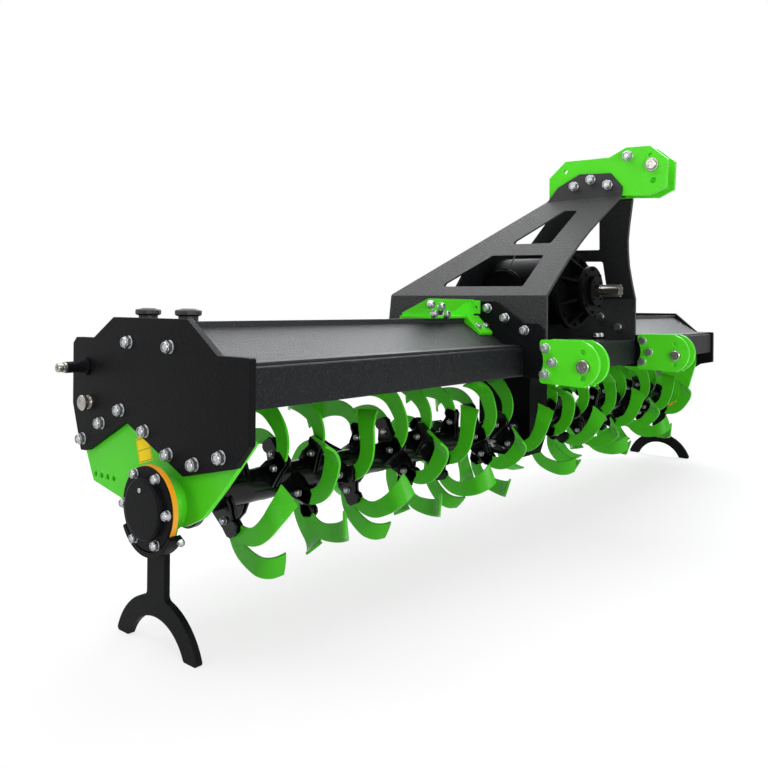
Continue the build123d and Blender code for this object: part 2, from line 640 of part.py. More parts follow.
# ------------------------------------------------------------------ blade holders
# Two cheeks with the blade's root between them. Points are (y, z) in a holder that points up.
CHEEK_T = 8.0
CHEEK_BASE = TUBE_R * 0.8  # half width where the cheek meets the tube
CHEEK_SHOULDER = HOLDER_R - 37.0


def holder():
    foot = TUBE_R - 12.0
    outline = [(-CHEEK_BASE, foot), (CHEEK_BASE, foot), (30, CHEEK_SHOULDER - 16), (19, CHEEK_SHOULDER),
               (27, CHEEK_SHOULDER + 12), (27, HOLDER_R - 10), (16, HOLDER_R), (-14, HOLDER_R),
               (-24, HOLDER_R - 12), (-24, CHEEK_SHOULDER)]
    tube = rod_x(TUBE_R + SEAT, -BLADE_T - CHEEK_T, BLADE_T + CHEEK_T)
    inner_x = BLADE_T / 2
    outer_x = inner_x + CHEEK_T
    cheeks = [prism_x(outline, sign * inner_x, sign * outer_x) - tube for sign in sides.values()]
    return group(cheeks)


# ------------------------------------------------------------------ the two halves of the rotor
# Two helices share the same places along X: one of blades that bend towards the drive case, one of blades that
# bend away from it. Angles are in degrees from straight down towards the front, at the place beside the case.
HELIX_START = {"left": dict(towards=63.6, away=280.5), "right": dict(towards=80.0, away=284.0)}
BLADE_REACH = 62.0         # how far a blade reaches sideways from its holder
OUTER_GAP = 140.0          # from the last blade to the inside of the end plate

holder_shape = holder()
blade_shape = blade()
blade_shapes = {1: blade_shape, -1: mirror_x(blade_shape)}


def placed(shape, x, angle):
    return Location((x, 0, 0)) * Rotation(180 - angle, 0, 0) * shape


for side, sign in sides.items():
    case_face = CASE_X0 if side == "left" else CASE_X1
    first = case_face + sign * (BLADE_REACH + SWEEP)
    last = sign * (INNER_X - OUTER_GAP)
    bends = {"towards": -sign, "away": sign}
    holders = []
    blades = []
    for step in range(HELIX_STEPS + 1):
        x = first + (last - first) * step / HELIX_STEPS
        for helix, bend in bends.items():
            angle = HELIX_START[side][helix] + HELIX_TURN * step
            holders.append(placed(holder_shape, x, angle))
            blades.append(placed(blade_shapes[bend], x, angle))
    save(f"blade_holders_{side}", group(holders))
    save(f"blades_{side}", group(blades))

# ------------------------------------------------------------------ small fittings
CAP_NECK_R, CAP_NECK_H = 23.0, 26.0
CAP_DISC_R, CAP_DISC_H = 34.0, 20.0
CAP_INSET = 47.0           # from the inside of the end plate
CAPS_Y = (179.0, 0.0)
caps = []
for cap_y in CAPS_Y:
    cap_x = -INNER_X + CAP_INSET
    filler = rod_z(CAP_NECK_R, CREST, CREST + CAP_NECK_H, cap_x, cap_y)
    filler += rod_z(CAP_DISC_R, CREST + CAP_NECK_H, CREST + CAP_NECK_H + CAP_DISC_H, cap_x, cap_y)
    caps.append(filler)
save("filler_caps", group(caps))

# stub on each end plate for the arm of a rear roller: collar, shank, tip. Columns: radius, length
PIVOT_Y, PIVOT_Z = 376.0, 320.0
PIVOT_STEPS = [(25.0, 10.0), (15.5, 52.0), (12.0, 23.0)]
SIDE_PIN_Y, SIDE_PIN_Z = 359.0, 222.0
SIDE_PIN_STEPS = [(18.0, 14.0), (22.0, 12.0)]


def stepped_pin(steps, y, z):
    x = -HALF_WIDTH
    pin = None
    for radius, length in steps:
        piece = rod_x(radius, x, x - length, y, z)
        pin = piece if pin is None else pin + piece
        x -= length
    return pin


pivot = stepped_pin(PIVOT_STEPS, PIVOT_Y, PIVOT_Z)
save("roller_pivots", group([pivot, mirror_x(pivot)]))
side_pin = stepped_pin(SIDE_PIN_STEPS, SIDE_PIN_Y, SIDE_PIN_Z)
save("side_pins", group([side_pin, mirror_x(side_pin)]))

# ------------------------------------------------------------------ coupling bracket, green
# It stands on the hood's lip beside the left headstock plate. Two gussets fall towards the rear. A cross plate
# runs along their front edges and slopes off before the right one. A lug stands out in front of the right
# gusset, and a tab lies on the hood's front slope.
BRACKET_X0, BRACKET_X1 = -HS_X - 319.0, -HS_X - 16.0
BRACKET_T = 8.0
BRACKET_H = 58.0
BRACKET_DEPTH = 118.0
GUSSET_X0, GUSSET_X1 = BRACKET_X0 + 12.0, BRACKET_X1 - 28.0
GUSSET_REAR_H = 10.0
CROSS_GAP = 18.0           # between the base plate and the cross plate
CROSS_FOOT, CROSS_HEAD = 119.0, 26.0       # how far its sloping end keeps from the right gusset
CROSS_STRIP = 8.0          # strip that carries it on to that gusset
LUG_REACH = 27.0
LUG_H = (8.0, 54.0)
TAB_WIDTH = 78.0
TAB_FOOT_Y = CREASE_Y - 65.0
base_z = CREST + HOOD_LIP_H
base_top = base_z + BRACKET_T
bracket_y0 = CREASE_Y - BRACKET_T
bracket_y1 = bracket_y0 + BRACKET_DEPTH

bracket = block(BRACKET_X0, BRACKET_X1, bracket_y0, bracket_y1, base_z, base_top)
bracket += block(BRACKET_X0, BRACKET_X1, bracket_y1 - BRACKET_T, bracket_y1, CREST, base_z)
gusset_outline = [(bracket_y0, base_top), (bracket_y1, base_top), (bracket_y1, base_top + GUSSET_REAR_H),
                  (bracket_y0 + BRACKET_T, base_top + BRACKET_H), (bracket_y0, base_top + BRACKET_H)]
for gusset_x in (GUSSET_X0, GUSSET_X1 - BRACKET_T):
    bracket += prism_x(gusset_outline, gusset_x, gusset_x + BRACKET_T)
bracket += prism_y([(GUSSET_X0, base_top + CROSS_GAP), (GUSSET_X1 - CROSS_FOOT, base_top + CROSS_GAP),
                    (GUSSET_X1 - CROSS_HEAD, base_top + BRACKET_H), (GUSSET_X0, base_top + BRACKET_H)],
                   bracket_y0, bracket_y0 + BRACKET_T)
bracket += block(GUSSET_X1 - CROSS_HEAD - CROSS_STRIP, GUSSET_X1, bracket_y0, bracket_y0 + BRACKET_T,
                 base_top + BRACKET_H - CROSS_STRIP, base_top + BRACKET_H)
lug = block(GUSSET_X1 - BRACKET_T, GUSSET_X1, bracket_y0 - LUG_REACH, bracket_y0, base_top + LUG_H[0],
            base_top + LUG_H[1])
bracket += hole_x(lug, LINK_HOLE_R / 2, GUSSET_X1 - BRACKET_T, GUSSET_X1, bracket_y0 - LUG_REACH / 2,
                  base_top + sum(LUG_H) / 2)
slope_foot = (TAB_FOOT_Y, slope_height(TAB_FOOT_Y) + SEAT)
tab_outline = [slope_foot, (CREASE_Y - SEAT, CREST + SEAT), (CREASE_Y - SEAT, base_top), (bracket_y0, base_top),
               (slope_foot[0] - BRACKET_T / 2, slope_foot[1] + BRACKET_T)]
bracket += prism_x(tab_outline, BRACKET_X1 - TAB_WIDTH, BRACKET_X1)
save("coupling_bracket", bracket)
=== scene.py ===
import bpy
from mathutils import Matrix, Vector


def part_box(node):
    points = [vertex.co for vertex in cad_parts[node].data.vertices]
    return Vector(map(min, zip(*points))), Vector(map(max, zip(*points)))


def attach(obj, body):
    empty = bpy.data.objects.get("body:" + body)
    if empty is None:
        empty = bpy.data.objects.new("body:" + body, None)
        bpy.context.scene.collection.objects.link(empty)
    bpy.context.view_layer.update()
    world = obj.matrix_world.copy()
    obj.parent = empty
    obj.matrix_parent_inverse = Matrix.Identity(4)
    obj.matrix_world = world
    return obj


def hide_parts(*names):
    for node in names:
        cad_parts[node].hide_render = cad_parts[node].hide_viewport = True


bl_info = {
    "name": "Rotavator looks",
    "version": (1, 0, 0),
    "blender": (4, 5, 0),
    "location": "View3D > Sidebar > Rotavator",
    "description": "Finishes and fittings for a tractor-mounted rotary tiller",
    "category": "Object",
}

import math

import bmesh
import bpy
from bpy.props import FloatProperty, FloatVectorProperty, PointerProperty
from mathutils import Matrix, Vector

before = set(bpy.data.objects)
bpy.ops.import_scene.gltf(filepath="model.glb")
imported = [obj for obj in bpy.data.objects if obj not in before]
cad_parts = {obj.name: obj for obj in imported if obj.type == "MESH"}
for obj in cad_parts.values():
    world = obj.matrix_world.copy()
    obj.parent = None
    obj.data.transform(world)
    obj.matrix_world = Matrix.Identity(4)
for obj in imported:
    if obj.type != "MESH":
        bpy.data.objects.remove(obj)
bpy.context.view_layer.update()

# ---------- places read from the frame
# Tables are in millimetres. Their Y and Z are measured from the rotor axis, X from the middle of the machine.
MM = 0.001


def middle(node):
    """Middle of a node's box on Y and Z, in metres."""
    low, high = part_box(node)
    return (low[1] + high[1]) / 2, (low[2] + high[2]) / 2


def faces(node):
    """Distances of a left-hand node's outer and inner face from the middle, in millimetres."""
    low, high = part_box(node)
    return -low[0] / MM, -high[0] / MM


AXIS_Y, AXIS_Z = middle("bearing_housing_left")
FLANGE_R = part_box("bearing_housing_left")[1][2] / MM - AXIS_Z / MM
END_X, INNER_X = faces("end_plate_left")
GREEN_X = faces("bearing_plate_left")[1]
LINK_X, LINK_INNER_X = faces("lower_link_plates_left")
TOP_X = faces("top_link_plates")[0]
PLATE_T = 12.0             # thickness of the headstock plates
HEADSTOCK_INNER_X = 374.0  # inner face of their upright lower part
HITCH_X = 401.0            # outer face of the hitch plates
TAB_X = faces("headstock_plate_left")[1] + PLATE_T
SHAFT_Z = (middle("pto_shaft")[1] - AXIS_Z) / MM
SPLINE_ROOT_R = 18.3       # radius of the input shaft between its splines
DECK_TOP = (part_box("centre_deck")[1][2] - AXIS_Z) / MM
HOOD_LIP_H = 16.0          # height of the hood's lip over its level top
CREST = (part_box("hood_left")[1][2] - AXIS_Z) / MM - HOOD_LIP_H
CREASE_Y = -100.0          # where the hood's front slope meets its level top
HOOD_FOOT_Y, HOOD_FOOT_Z = -215.0, 363.0
CASE_X = {"left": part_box("drive_case")[0][0] / MM, "right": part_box("drive_case")[1][0] / MM}
SIDES = {"left": -1, "right": 1}


def spot(x, y, z):
    """A point in metres from millimetres measured from the middle and the rotor axis."""
    return Vector((x * MM, AXIS_Y + y * MM, AXIS_Z + z * MM))


# ---------- settings
class FinishSettings(bpy.types.PropertyGroup):
    """Colours of the finishes."""
    black: FloatVectorProperty(name="Black coat", description="Powder coat on frame, hood and stands",
                               subtype="COLOR", size=3, min=0, max=1, default=(0.0034, 0.0036, 0.0042))
    gloss_black: FloatVectorProperty(name="Gloss black", description="Paint on rotor tube and blade holders",
                                     subtype="COLOR", size=3, min=0, max=1, default=(0.0020, 0.0020, 0.0022))
    green: FloatVectorProperty(name="Green", description="Paint on blades, bearing plates and link plates",
                               subtype="COLOR", size=3, min=0, max=1, default=(0.082, 0.65, 0.017))
    amber: FloatVectorProperty(name="Amber", description="Ring behind the bearing flange",
                               subtype="COLOR", size=3, min=0, max=1, default=(0.82, 0.33, 0.008))
    yellow: FloatVectorProperty(name="Yellow", description="Blank sticker on the left bearing plate",
                                subtype="COLOR", size=3, min=0, max=1, default=(0.98, 0.74, 0.002))
    zinc: FloatVectorProperty(name="Zinc", description="Plated bolts, nuts and washers",
                              subtype="COLOR", size=3, min=0, max=1, default=(0.56, 0.57, 0.59))
    steel: FloatVectorProperty(name="Bare steel", description="Machined input shaft and pins",
                               subtype="COLOR", size=3, min=0, max=1, default=(0.42, 0.40, 0.37))


class SizeSettings(bpy.types.PropertyGroup):
    """Sizes that a user would change."""
    plate_edge: FloatProperty(name="Plate edge", description="Width of the rounded edge of plates",
                              subtype="DISTANCE", unit="LENGTH", default=0.0012, min=0.0002, max=0.004)
    casting_edge: FloatProperty(name="Casting edge", description="Width of the rounded edge of castings",
                                subtype="DISTANCE", unit="LENGTH", default=0.0022, min=0.0004, max=0.006)
    washer: FloatProperty(name="Washer", description="Diameter of the flange under a bolt head",
                          subtype="DISTANCE", unit="LENGTH", default=0.034, min=0.01, max=0.06)
    blade: FloatProperty(name="Blade thickness", description="Thickness of a blade",
                         subtype="DISTANCE", unit="LENGTH", default=0.008, min=0.004, max=0.012)


def finishes():
    return bpy.context.scene.rotavator_finishes


def sizes():
    return bpy.context.scene.rotavator_sizes


# ---------- shader maths
class Wire:
    """An output socket. Arithmetic on it adds Math nodes to its tree."""

    def __init__(self, nodes, socket):
        self.nodes = nodes
        self.socket = socket

    def beside(self, output):
        """Another output of the same node."""
        return Wire(self.nodes, self.socket.node.outputs[output])

    def math(self, operation, *values):
        return self.nodes.node("ShaderNodeMath", {"operation": operation}, dict(enumerate((self, *values))))

    def __add__(self, other):
        return self.math("ADD", other)

    __radd__ = __add__

    def __mul__(self, other):
        return self.math("MULTIPLY", other)

    __rmul__ = __mul__

    def __sub__(self, other):
        return self.math("SUBTRACT", other)

    def __rsub__(self, other):
        return (self * -1) + other

    def __gt__(self, other):
        return self.math("GREATER_THAN", other)

    def smooth(self, low, high):
        """0 below low, 1 above high, with a soft step between."""
        return self.nodes.node("ShaderNodeMapRange", {"interpolation_type": "SMOOTHSTEP"},
                               {"Value": self, "From Min": low, "From Max": high})


class Nodes:
    """A node tree that is being put together."""

    def __init__(self, tree):
        self.tree = tree
        self.tree.nodes.clear()

    def node(self, kind, settings=None, inputs=None, output=0):
        """Any node: its type, its settings, the values or wires of its sockets. Gives one of its outputs."""
        node = self.tree.nodes.new(kind)
        for name, value in (settings or {}).items():
            setattr(node, name, value)
        for name, value in (inputs or {}).items():
            if isinstance(value, Wire):
                self.tree.links.new(value.socket, node.inputs[name])
            else:
                node.inputs[name].default_value = value
        return Wire(self, node.outputs[output]) if len(node.outputs) else None

    def seen(self):
        """1 for rays from the camera, off glossy surfaces and through clear ones, 0 for others."""
        camera = self.node("ShaderNodeLightPath", output="Is Camera Ray")
        rays = camera + camera.beside("Is Glossy Ray") + camera.beside("Is Transmission Ray")
        return rays.math("MINIMUM", 1.0)


class Finish(Nodes):
    """A material that is being put together."""

    def __init__(self, name):
        self.material = bpy.data.materials.new(name)
        self.material.use_nodes = True
        super().__init__(self.material.node_tree)
        self.place = self.node("ShaderNodeTexCoord", output="Object")

    def noise(self, scale, detail=2.0, roughness=0.5, vector=None):
        return self.node("ShaderNodeTexNoise", {}, {"Vector": vector or self.place, "Scale": scale,
                                                    "Detail": detail, "Roughness": roughness}, "Fac")

    def stretched(self, x, y, z):
        """Object coordinates scaled along each axis."""
        return self.node("ShaderNodeMapping", {}, {"Vector": self.place, "Scale": (x, y, z)})

    def tool_marks(self):
        """Fine marks of a turning tool, close together along Y."""
        return self.noise(1.0, 3.0, 0.6, self.stretched(40.0, 1600.0, 40.0))

    def mix(self, factor, first, second):
        """Between two colours."""
        colours = {6: as_colour(first), 7: as_colour(second), 0: factor}
        return self.node("ShaderNodeMix", {"data_type": "RGBA"}, colours, 2)

    def bump(self, height, strength, distance, under=None):
        inputs = {"Height": height, "Strength": strength, "Distance": distance}
        if under:
            inputs["Normal"] = under
        return self.node("ShaderNodeBump", {}, inputs)

    def surface(self, base, rough, relief=None, specular=None, metallic=None):
        """The Principled surface from its colour, its roughness and what else is given."""
        inputs = {"Base Color": as_colour(base), "Roughness": rough, "Normal": relief,
                  "Specular IOR Level": specular, "Metallic": metallic}
        given = {name: value for name, value in inputs.items() if value is not None}
        shader = self.node("ShaderNodeBsdfPrincipled", {}, given)
        self.node("ShaderNodeOutputMaterial", {}, {"Surface": shader})
        return self.material


def as_colour(value):
    if isinstance(value, Wire) or len(value) == 4:
        return value
    return (value[0], value[1], value[2], 1.0)


def scaled(colour, factor):
    return tuple(min(1.0, part * factor) for part in colour)


# ---------- finishes
STICKER_SIZE = (63.0, 64.0)
STICKER_BORDER = 2.2 * MM
WHITE = (1.0, 1.0, 1.0, 1.0)


def powder_coat(name="black_powder_coat", shine=0.06, painted_lightness=1.0, grain=0.5, fleck=2.6):
    """Black powder coat: orange peel, fine grit and faint dust in the grain."""
    finish = Finish(name)
    black = finishes().black
    cloud = finish.noise(3.0, 3.0)
    grit = finish.noise(190.0, 3.0, 0.65)
    peel = finish.noise(620.0, 1.0)
    flecks = grit.smooth(0.52, 0.68)
    # The lightness share scales the whole colour; above 1 it is painted light on lit faces.
    base = finish.mix(flecks, scaled(black, painted_lightness), scaled(black, fleck * painted_lightness))
    base = finish.mix(cloud.smooth(0.35, 0.7) * 0.5, base, scaled(black, 1.6 * painted_lightness))
    rough = 0.34 + 0.10 * cloud + 0.16 * grit
    relief = finish.bump(grit, grain, 0.0022)
    relief = finish.bump(peel, 0.30, 0.0004, relief)
    return finish.surface(base, rough, relief, shine)


def sheet_coat():
    """The same coat, glossier, with much brighter flecks as painted sheen on the top-lit faces: hoods and
    headstock plates.
    """
    return powder_coat("black_sheet_coat", 0.40, 1.0, 1.6, 9.0)


def beam_coat():
    """The same coat painted lighter, with brighter flecks, as painted light on the lit faces: front beam and
    deck.
    """
    return powder_coat("black_beam_coat", 0.12, 1.9, 1.2, 5.0)


def gloss_black():
    finish = Finish("gloss_black")
    black = finishes().gloss_black
    cloud = finish.noise(9.0, 3.0)
    ripple = finish.noise(55.0, 1.0)
    base = finish.mix(cloud, black, scaled(black, 1.9))
    rough = 0.10 + 0.14 * cloud
    relief = finish.bump(ripple, 0.10, 0.0010)
    return finish.surface(base, rough, relief, 0.24)


def cast_coat():
    """Paint on rough castings."""
    finish = Finish("cast_coat")
    black = finishes().black
    cloud = finish.noise(6.0, 4.0)
    sand = finish.noise(330.0, 2.0, 0.65)
    lumps = finish.noise(60.0, 2.0)
    base = finish.mix(cloud, scaled(black, 0.5), black)
    relief = finish.bump(lumps, 0.20, 0.002)
    relief = finish.bump(sand, 0.35, 0.0008, relief)
    return finish.surface(base, 0.42 + 0.2 * sand, relief, 0.035)


def green_paint(name="green_paint", share=1.0, shine=0.16, rough=0.30):
    """Gloss green paint with a slow ripple and slightly thinner colour here and there."""
    finish = Finish(name)
    green = scaled(finishes().green, share)
    cloud = finish.noise(5.0, 3.0)
    ripple = finish.noise(90.0, 2.0)
    base = finish.mix(cloud, scaled(green, 0.90), scaled(green, 1.08))
    relief = finish.bump(ripple, 0.10, 0.0010)
    return finish.surface(base, rough + 0.10 * cloud, relief, shine)


def blade_paint():
    """The same paint darker, as painted shade, and glossier: blades."""
    return green_paint("green_blade_paint", 0.78, 0.22, 0.22)


def amber_ring():
    finish = Finish("amber_ring")
    amber = finishes().amber
    cloud = finish.noise(30.0, 2.0)
    base = finish.mix(cloud, scaled(amber, 0.88), amber)
    relief = finish.bump(finish.noise(240.0, 1.0), 0.1, 0.0006)
    return finish.surface(base, 0.30 + 0.08 * cloud, relief)


def zinc_plate():
    finish = Finish("zinc_plate")
    zinc = finishes().zinc
    cloud = finish.noise(120.0, 3.0)
    base = finish.mix(cloud, scaled(zinc, 0.72), zinc)
    relief = finish.bump(finish.noise(900.0, 2.0), 0.25, 0.0002)
    return finish.surface(base, 0.22 + 0.22 * cloud, relief, metallic=1.0)


def bare_steel():
    """Turned steel with tool marks and a thin oil film."""
    finish = Finish("bare_steel")
    steel = finishes().steel
    marks = finish.tool_marks()
    film = finish.noise(45.0, 3.0)
    base = finish.mix(film.smooth(0.4, 0.7), steel, scaled(steel, 0.62))
    relief = finish.bump(marks, 0.3, 0.0003)
    return finish.surface(base, 0.20 + 0.2 * film, relief, metallic=1.0)


def splined_steel():
    """Turned steel with near-black painted shade in the grooves between the splines."""
    finish = Finish("splined_steel")
    steel = finishes().steel
    across = finish.node("ShaderNodeSeparateXYZ", {}, {"Vector": finish.place}, "X")
    up = across.beside("Z") - (AXIS_Z + SHAFT_Z * MM)
    radius = (across * across + up * up).math("SQRT")
    crown = radius.smooth(SPLINE_ROOT_R * MM + 0.0006, SPLINE_ROOT_R * MM + 0.0026)
    marks = finish.tool_marks()
    # crown is 0 in the grooves, which get near-black painted shade.
    base = finish.mix(crown, (0.022, 0.020, 0.018), finish.mix(marks, scaled(steel, 0.8), steel))
    relief = finish.bump(marks, 0.3, 0.0003)
    return finish.surface(base, 0.42 - 0.18 * crown, relief, metallic=crown * 0.7 + 0.3)


def cap_plastic():
    finish = Finish("cap_plastic")
    grain = finish.noise(700.0, 2.0)
    relief = finish.bump(grain, 0.3, 0.0003)
    base = finish.mix(grain, (0.006, 0.006, 0.007), (0.011, 0.011, 0.012))
    return finish.surface(base, 0.42 + 0.1 * grain, relief)


def sticker_film():
    """Yellow film with a thin dark border and a line across its middle, drawn on the piece's own UV map."""
    finish = Finish("sticker_film")
    across = finish.node("ShaderNodeSeparateXYZ", {}, {"Vector": finish.node("ShaderNodeUVMap")}, "X")
    up = across.beside("Y")
    width, height = STICKER_SIZE[0] * MM, STICKER_SIZE[1] * MM
    edge = ((across - 0.5).math("ABSOLUTE") * -1 + 0.5) * width
    end = ((up - 0.5).math("ABSOLUTE") * -1 + 0.5) * height
    near = edge.math("MINIMUM", end)
    line = (near > STICKER_BORDER) * (1 - (near > STICKER_BORDER * 1.6))
    apart = (up - 0.5).math("ABSOLUTE") * height
    line = line.math("MAXIMUM", (1 - (apart > STICKER_BORDER * 0.3)) * (edge > STICKER_BORDER))
    yellow = finishes().yellow
    base = finish.mix(finish.noise(60.0), scaled(yellow, 0.92), yellow)
    base = finish.mix(line, base, (0.02, 0.018, 0.01))
    return finish.surface(base, 0.45, specular=0.12)


def floor_paint():
    """Pale floor that keeps the shadow and reads white around it."""
    finish = Finish("pale_floor")
    shade = finish.node("ShaderNodeBsdfDiffuse", {}, {"Color": (0.92, 0.92, 0.92, 1.0)})
    glow = finish.node("ShaderNodeEmission", {}, {"Color": WHITE, "Strength": 1.0})
    far = finish.node("ShaderNodeVectorMath", {"operation": "LENGTH"}, {0: finish.place}, "Value")
    share = finish.seen() * (0.74 + 0.26 * far.smooth(1.6, 4.2))
    mixed = finish.node("ShaderNodeMixShader", {}, {0: share, 1: shade, 2: glow})
    finish.node("ShaderNodeOutputMaterial", {}, {"Surface": mixed})
    return finish.material


MAKERS = {
    "frame_coat": powder_coat, "sheet_coat": sheet_coat, "beam_coat": beam_coat, "rotor_coat": gloss_black,
    "cast_coat": cast_coat, "green_coat": green_paint, "blade_coat": blade_paint, "amber_seal": amber_ring,
    "zinc_plate": zinc_plate, "bare_steel": bare_steel, "splined_steel": splined_steel,
    "cap_plastic": cap_plastic, "sticker": sticker_film,
}
made = {}


def material(slot):
    if slot not in made:
        made[slot] = MAKERS[slot]()
    return made[slot]


# ---------- mesh helpers
SHARP_ANGLE = math.radians(38.0)
EDGE_ANGLE = math.radians(40.0)
FLAT_ANGLE = math.radians(0.6)


def add_piece(name, bm, slot, body="frame", replaces=(), sharp=SHARP_ANGLE, finish=None):
    """A finished piece from a bmesh, riding on a body, in its slot's finish unless another is named."""
    mesh = bpy.data.meshes.new(name)
    bm.to_mesh(mesh)
    bm.free()
    piece = bpy.data.objects.new(name, mesh)
    bpy.context.collection.objects.link(piece)
    mesh.materials.append(material(finish or slot))
    mesh.shade_smooth()
    mesh.set_sharp_from_angle(angle=sharp)
    modifier = piece.modifiers.new("even_normals", "WEIGHTED_NORMAL")
    modifier.keep_sharp = True
    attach(piece, body)
    if replaces:
        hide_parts(*replaces)
    return piece


def outward(bm):
    bmesh.ops.recalc_face_normals(bm, faces=bm.faces)


def bevel(bm, edges, width, segments, clamp=False):
    bmesh.ops.bevel(bm, geom=edges, offset=width, offset_type="OFFSET", affect="EDGES", segments=segments,
                    profile=0.5, material=-1, clamp_overlap=clamp)


def round_edges(bm, width, segments=2, angle=EDGE_ANGLE):
    """Round every edge that turns by more than an angle."""
    edges = [edge for edge in bm.edges if len(edge.link_faces) == 2 and edge.calc_face_angle(0) > angle]
    bevel(bm, edges, width, segments, clamp=True)


def node_shape(node):
    """A merged copy of a CAD node with its flat faces whole again."""
    bm = bmesh.new()
    bm.from_mesh(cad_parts[node].data)
    bmesh.ops.remove_doubles(bm, verts=bm.verts, dist=0.00002)
    bmesh.ops.dissolve_limit(bm, angle_limit=FLAT_ANGLE, verts=bm.verts, edges=bm.edges)
    return bm


def upright(bm, outline, x, thickness):
    """A closed plate in the YZ plane from an outline (y, z), from x on. Below 0 it runs the other way."""
    verts = [bm.verts.new((x, y * MM, z * MM)) for y, z in outline]
    grown = bmesh.ops.extrude_face_region(bm, geom=[bm.faces.new(verts)])
    raised = [item for item in grown["geom"] if isinstance(item, bmesh.types.BMVert)]
    bmesh.ops.translate(bm, verts=raised, vec=(thickness, 0, 0))


def turned(profile, segments=48, unit=MM, at=None):
    """A closed solid of revolution about Z from (radius, height) points in units, put where a matrix says."""
    bm = bmesh.new()
    verts = [bm.verts.new((radius * unit, 0.0, height * unit)) for radius, height in profile]
    edges = [bm.edges.new(pair) for pair in zip(verts, verts[1:])]
    if profile[0][0] > 0:
        edges.append(bm.edges.new((verts[-1], verts[0])))
    bmesh.ops.spin(bm, geom=verts + edges, cent=(0, 0, 0), axis=(0, 0, 1), angle=math.tau, steps=segments,
                   use_merge=True)
    bmesh.ops.remove_doubles(bm, verts=bm.verts, dist=0.000001)
    outward(bm)
    if at:
        bmesh.ops.transform(bm, matrix=at, verts=bm.verts)
    return bm


def as_mesh(bm, name):
    mesh = bpy.data.meshes.new(name)
    bm.to_mesh(mesh)
    bm.free()
    return mesh


def add_copies(name, template, places, slot, body="frame", replaces=(), finish=None):
    """A piece with a copy of a mesh at each matrix. A mirrored copy's faces are turned back outwards."""
    bm = bmesh.new()
    for matrix in places:
        first_vert, first_face = len(bm.verts), len(bm.faces)
        bm.from_mesh(template)
        bm.verts.ensure_lookup_table()
        bmesh.ops.transform(bm, matrix=matrix, verts=bm.verts[first_vert:])
        if matrix.determinant() < 0:
            bm.faces.ensure_lookup_table()
            bmesh.ops.reverse_faces(bm, faces=bm.faces[first_face:])
    return add_piece(name, bm, slot, body, replaces, finish=finish)


def add_turned(name, profile, segments, at, slot, body="frame", replaces=()):
    return add_piece(name, turned(profile, segments, at=at), slot, body, replaces)


def add_rounded(node, name, slot, width, segments=2, body="frame", finish=None):
    """A CAD node with its edges rounded, as a piece that replaces it."""
    bm = node_shape(node)
    round_edges(bm, width, segments)
    return add_piece(name, bm, slot, body, [node], finish=finish)


def facing(place, direction):
    """A matrix that puts local Z along a direction at a place."""
    turn = Vector(direction).to_track_quat("Z", "Y").to_matrix().to_4x4()
    return Matrix.Translation(place) @ turn


ALONG_X = {-1: (-1, 0, 0), 1: (1, 0, 0)}


def outwards(sign, x, y=0.0, z=0.0):
    """A matrix that puts local Z outwards on one side, at a distance x from the middle."""
    return facing(spot(sign * x, y, z), ALONG_X[sign])


def both_sides(x, y, z):
    return [outwards(sign, x, y, z) for sign in SIDES.values()]


def on_circle(count, radius, first=0.0):
    """Evenly spaced points on a circle. first is the share of a step at which they start."""
    for index in range(count):
        turn = math.tau * (index + first) / count
        yield radius * math.cos(turn), radius * math.sin(turn)


# ---------- fasteners
def nut_template(size=1.0, stud=True):
    """A locking flange nut with the end of its bolt, standing on z = 0, or a bolt's head. size is a share."""
    unit = sizes().washer / 34 * size
    bm = turned([(0, 0), (16.8, 0), (16.8, 1.4), (16.2, 2.0), (0, 2.0)], 28, unit)
    body = bmesh.new()
    bmesh.ops.create_cone(body, cap_ends=True, segments=6, radius1=16.2 * unit, radius2=16.2 * unit,
                          depth=11.6 * unit)
    bmesh.ops.translate(body, verts=body.verts, vec=(0, 0, 7.8 * unit))
    top = [edge for edge in body.edges if all(vert.co.z > 10 * unit for vert in edge.verts)]
    bevel(body, top, 1.2 * unit, 2)
    sides = [edge for edge in body.edges if abs(edge.verts[0].co.z - edge.verts[1].co.z) > 5 * unit]
    bevel(body, sides, 0.8 * unit, 1)
    join(bm, body)
    if stud:
        join(bm, turned([(0, 12), (13.4, 12), (13.4, 16.4), (12.2, 18.2), (10.2, 18.6), (9.8, 14.8),
                         (7.8, 14.8), (7.8, 17), (6.8, 18), (2.4, 18), (1.8, 17.2), (0, 17.2)], 22, unit))
    return as_mesh(bm, "nut_template")


def join(bm, other):
    """Add another bmesh's shape and free it."""
    mesh = as_mesh(other, "joined")
    bm.from_mesh(mesh)
    bpy.data.meshes.remove(mesh)


def cap_screw_template(radius, height):
    """A round-headed screw with a round socket, standing on z = 0."""
    recess = radius * 0.5
    return as_mesh(turned([(0, 0), (radius, 0), (radius, height * 0.8), (radius * 0.88, height),
                           (recess, height), (recess, height * 0.45), (0, height * 0.45)], 18), "cap_screw")


# ---------- plates, beams and castings
# Columns: node, slot, finish where it isn't the slot's own. A name that ends in _ stands for both sides.
PLATE_NODES = [
    ("end_plate_", "frame_coat", None), ("bearing_plate_", "green_coat", None),
    ("front_beam", "frame_coat", "beam_coat"), ("rear_beam", "frame_coat", None),
    ("hood_", "frame_coat", "sheet_coat"), ("centre_deck", "frame_coat", "beam_coat"),
    ("headstock_plate_", "frame_coat", "sheet_coat"), ("hitch_plate_", "frame_coat", None),
    ("lower_link_plates_", "green_coat", None), ("top_link_plates", "green_coat", None),
    ("top_link_block", "frame_coat", None), ("coupling_bracket", "green_coat", None),
    ("cross_plate", "frame_coat", None), ("stand_", "frame_coat", None),
]
CASTING_NODES = ["gearbox_housing", "input_bearing_housing", "drive_case"]


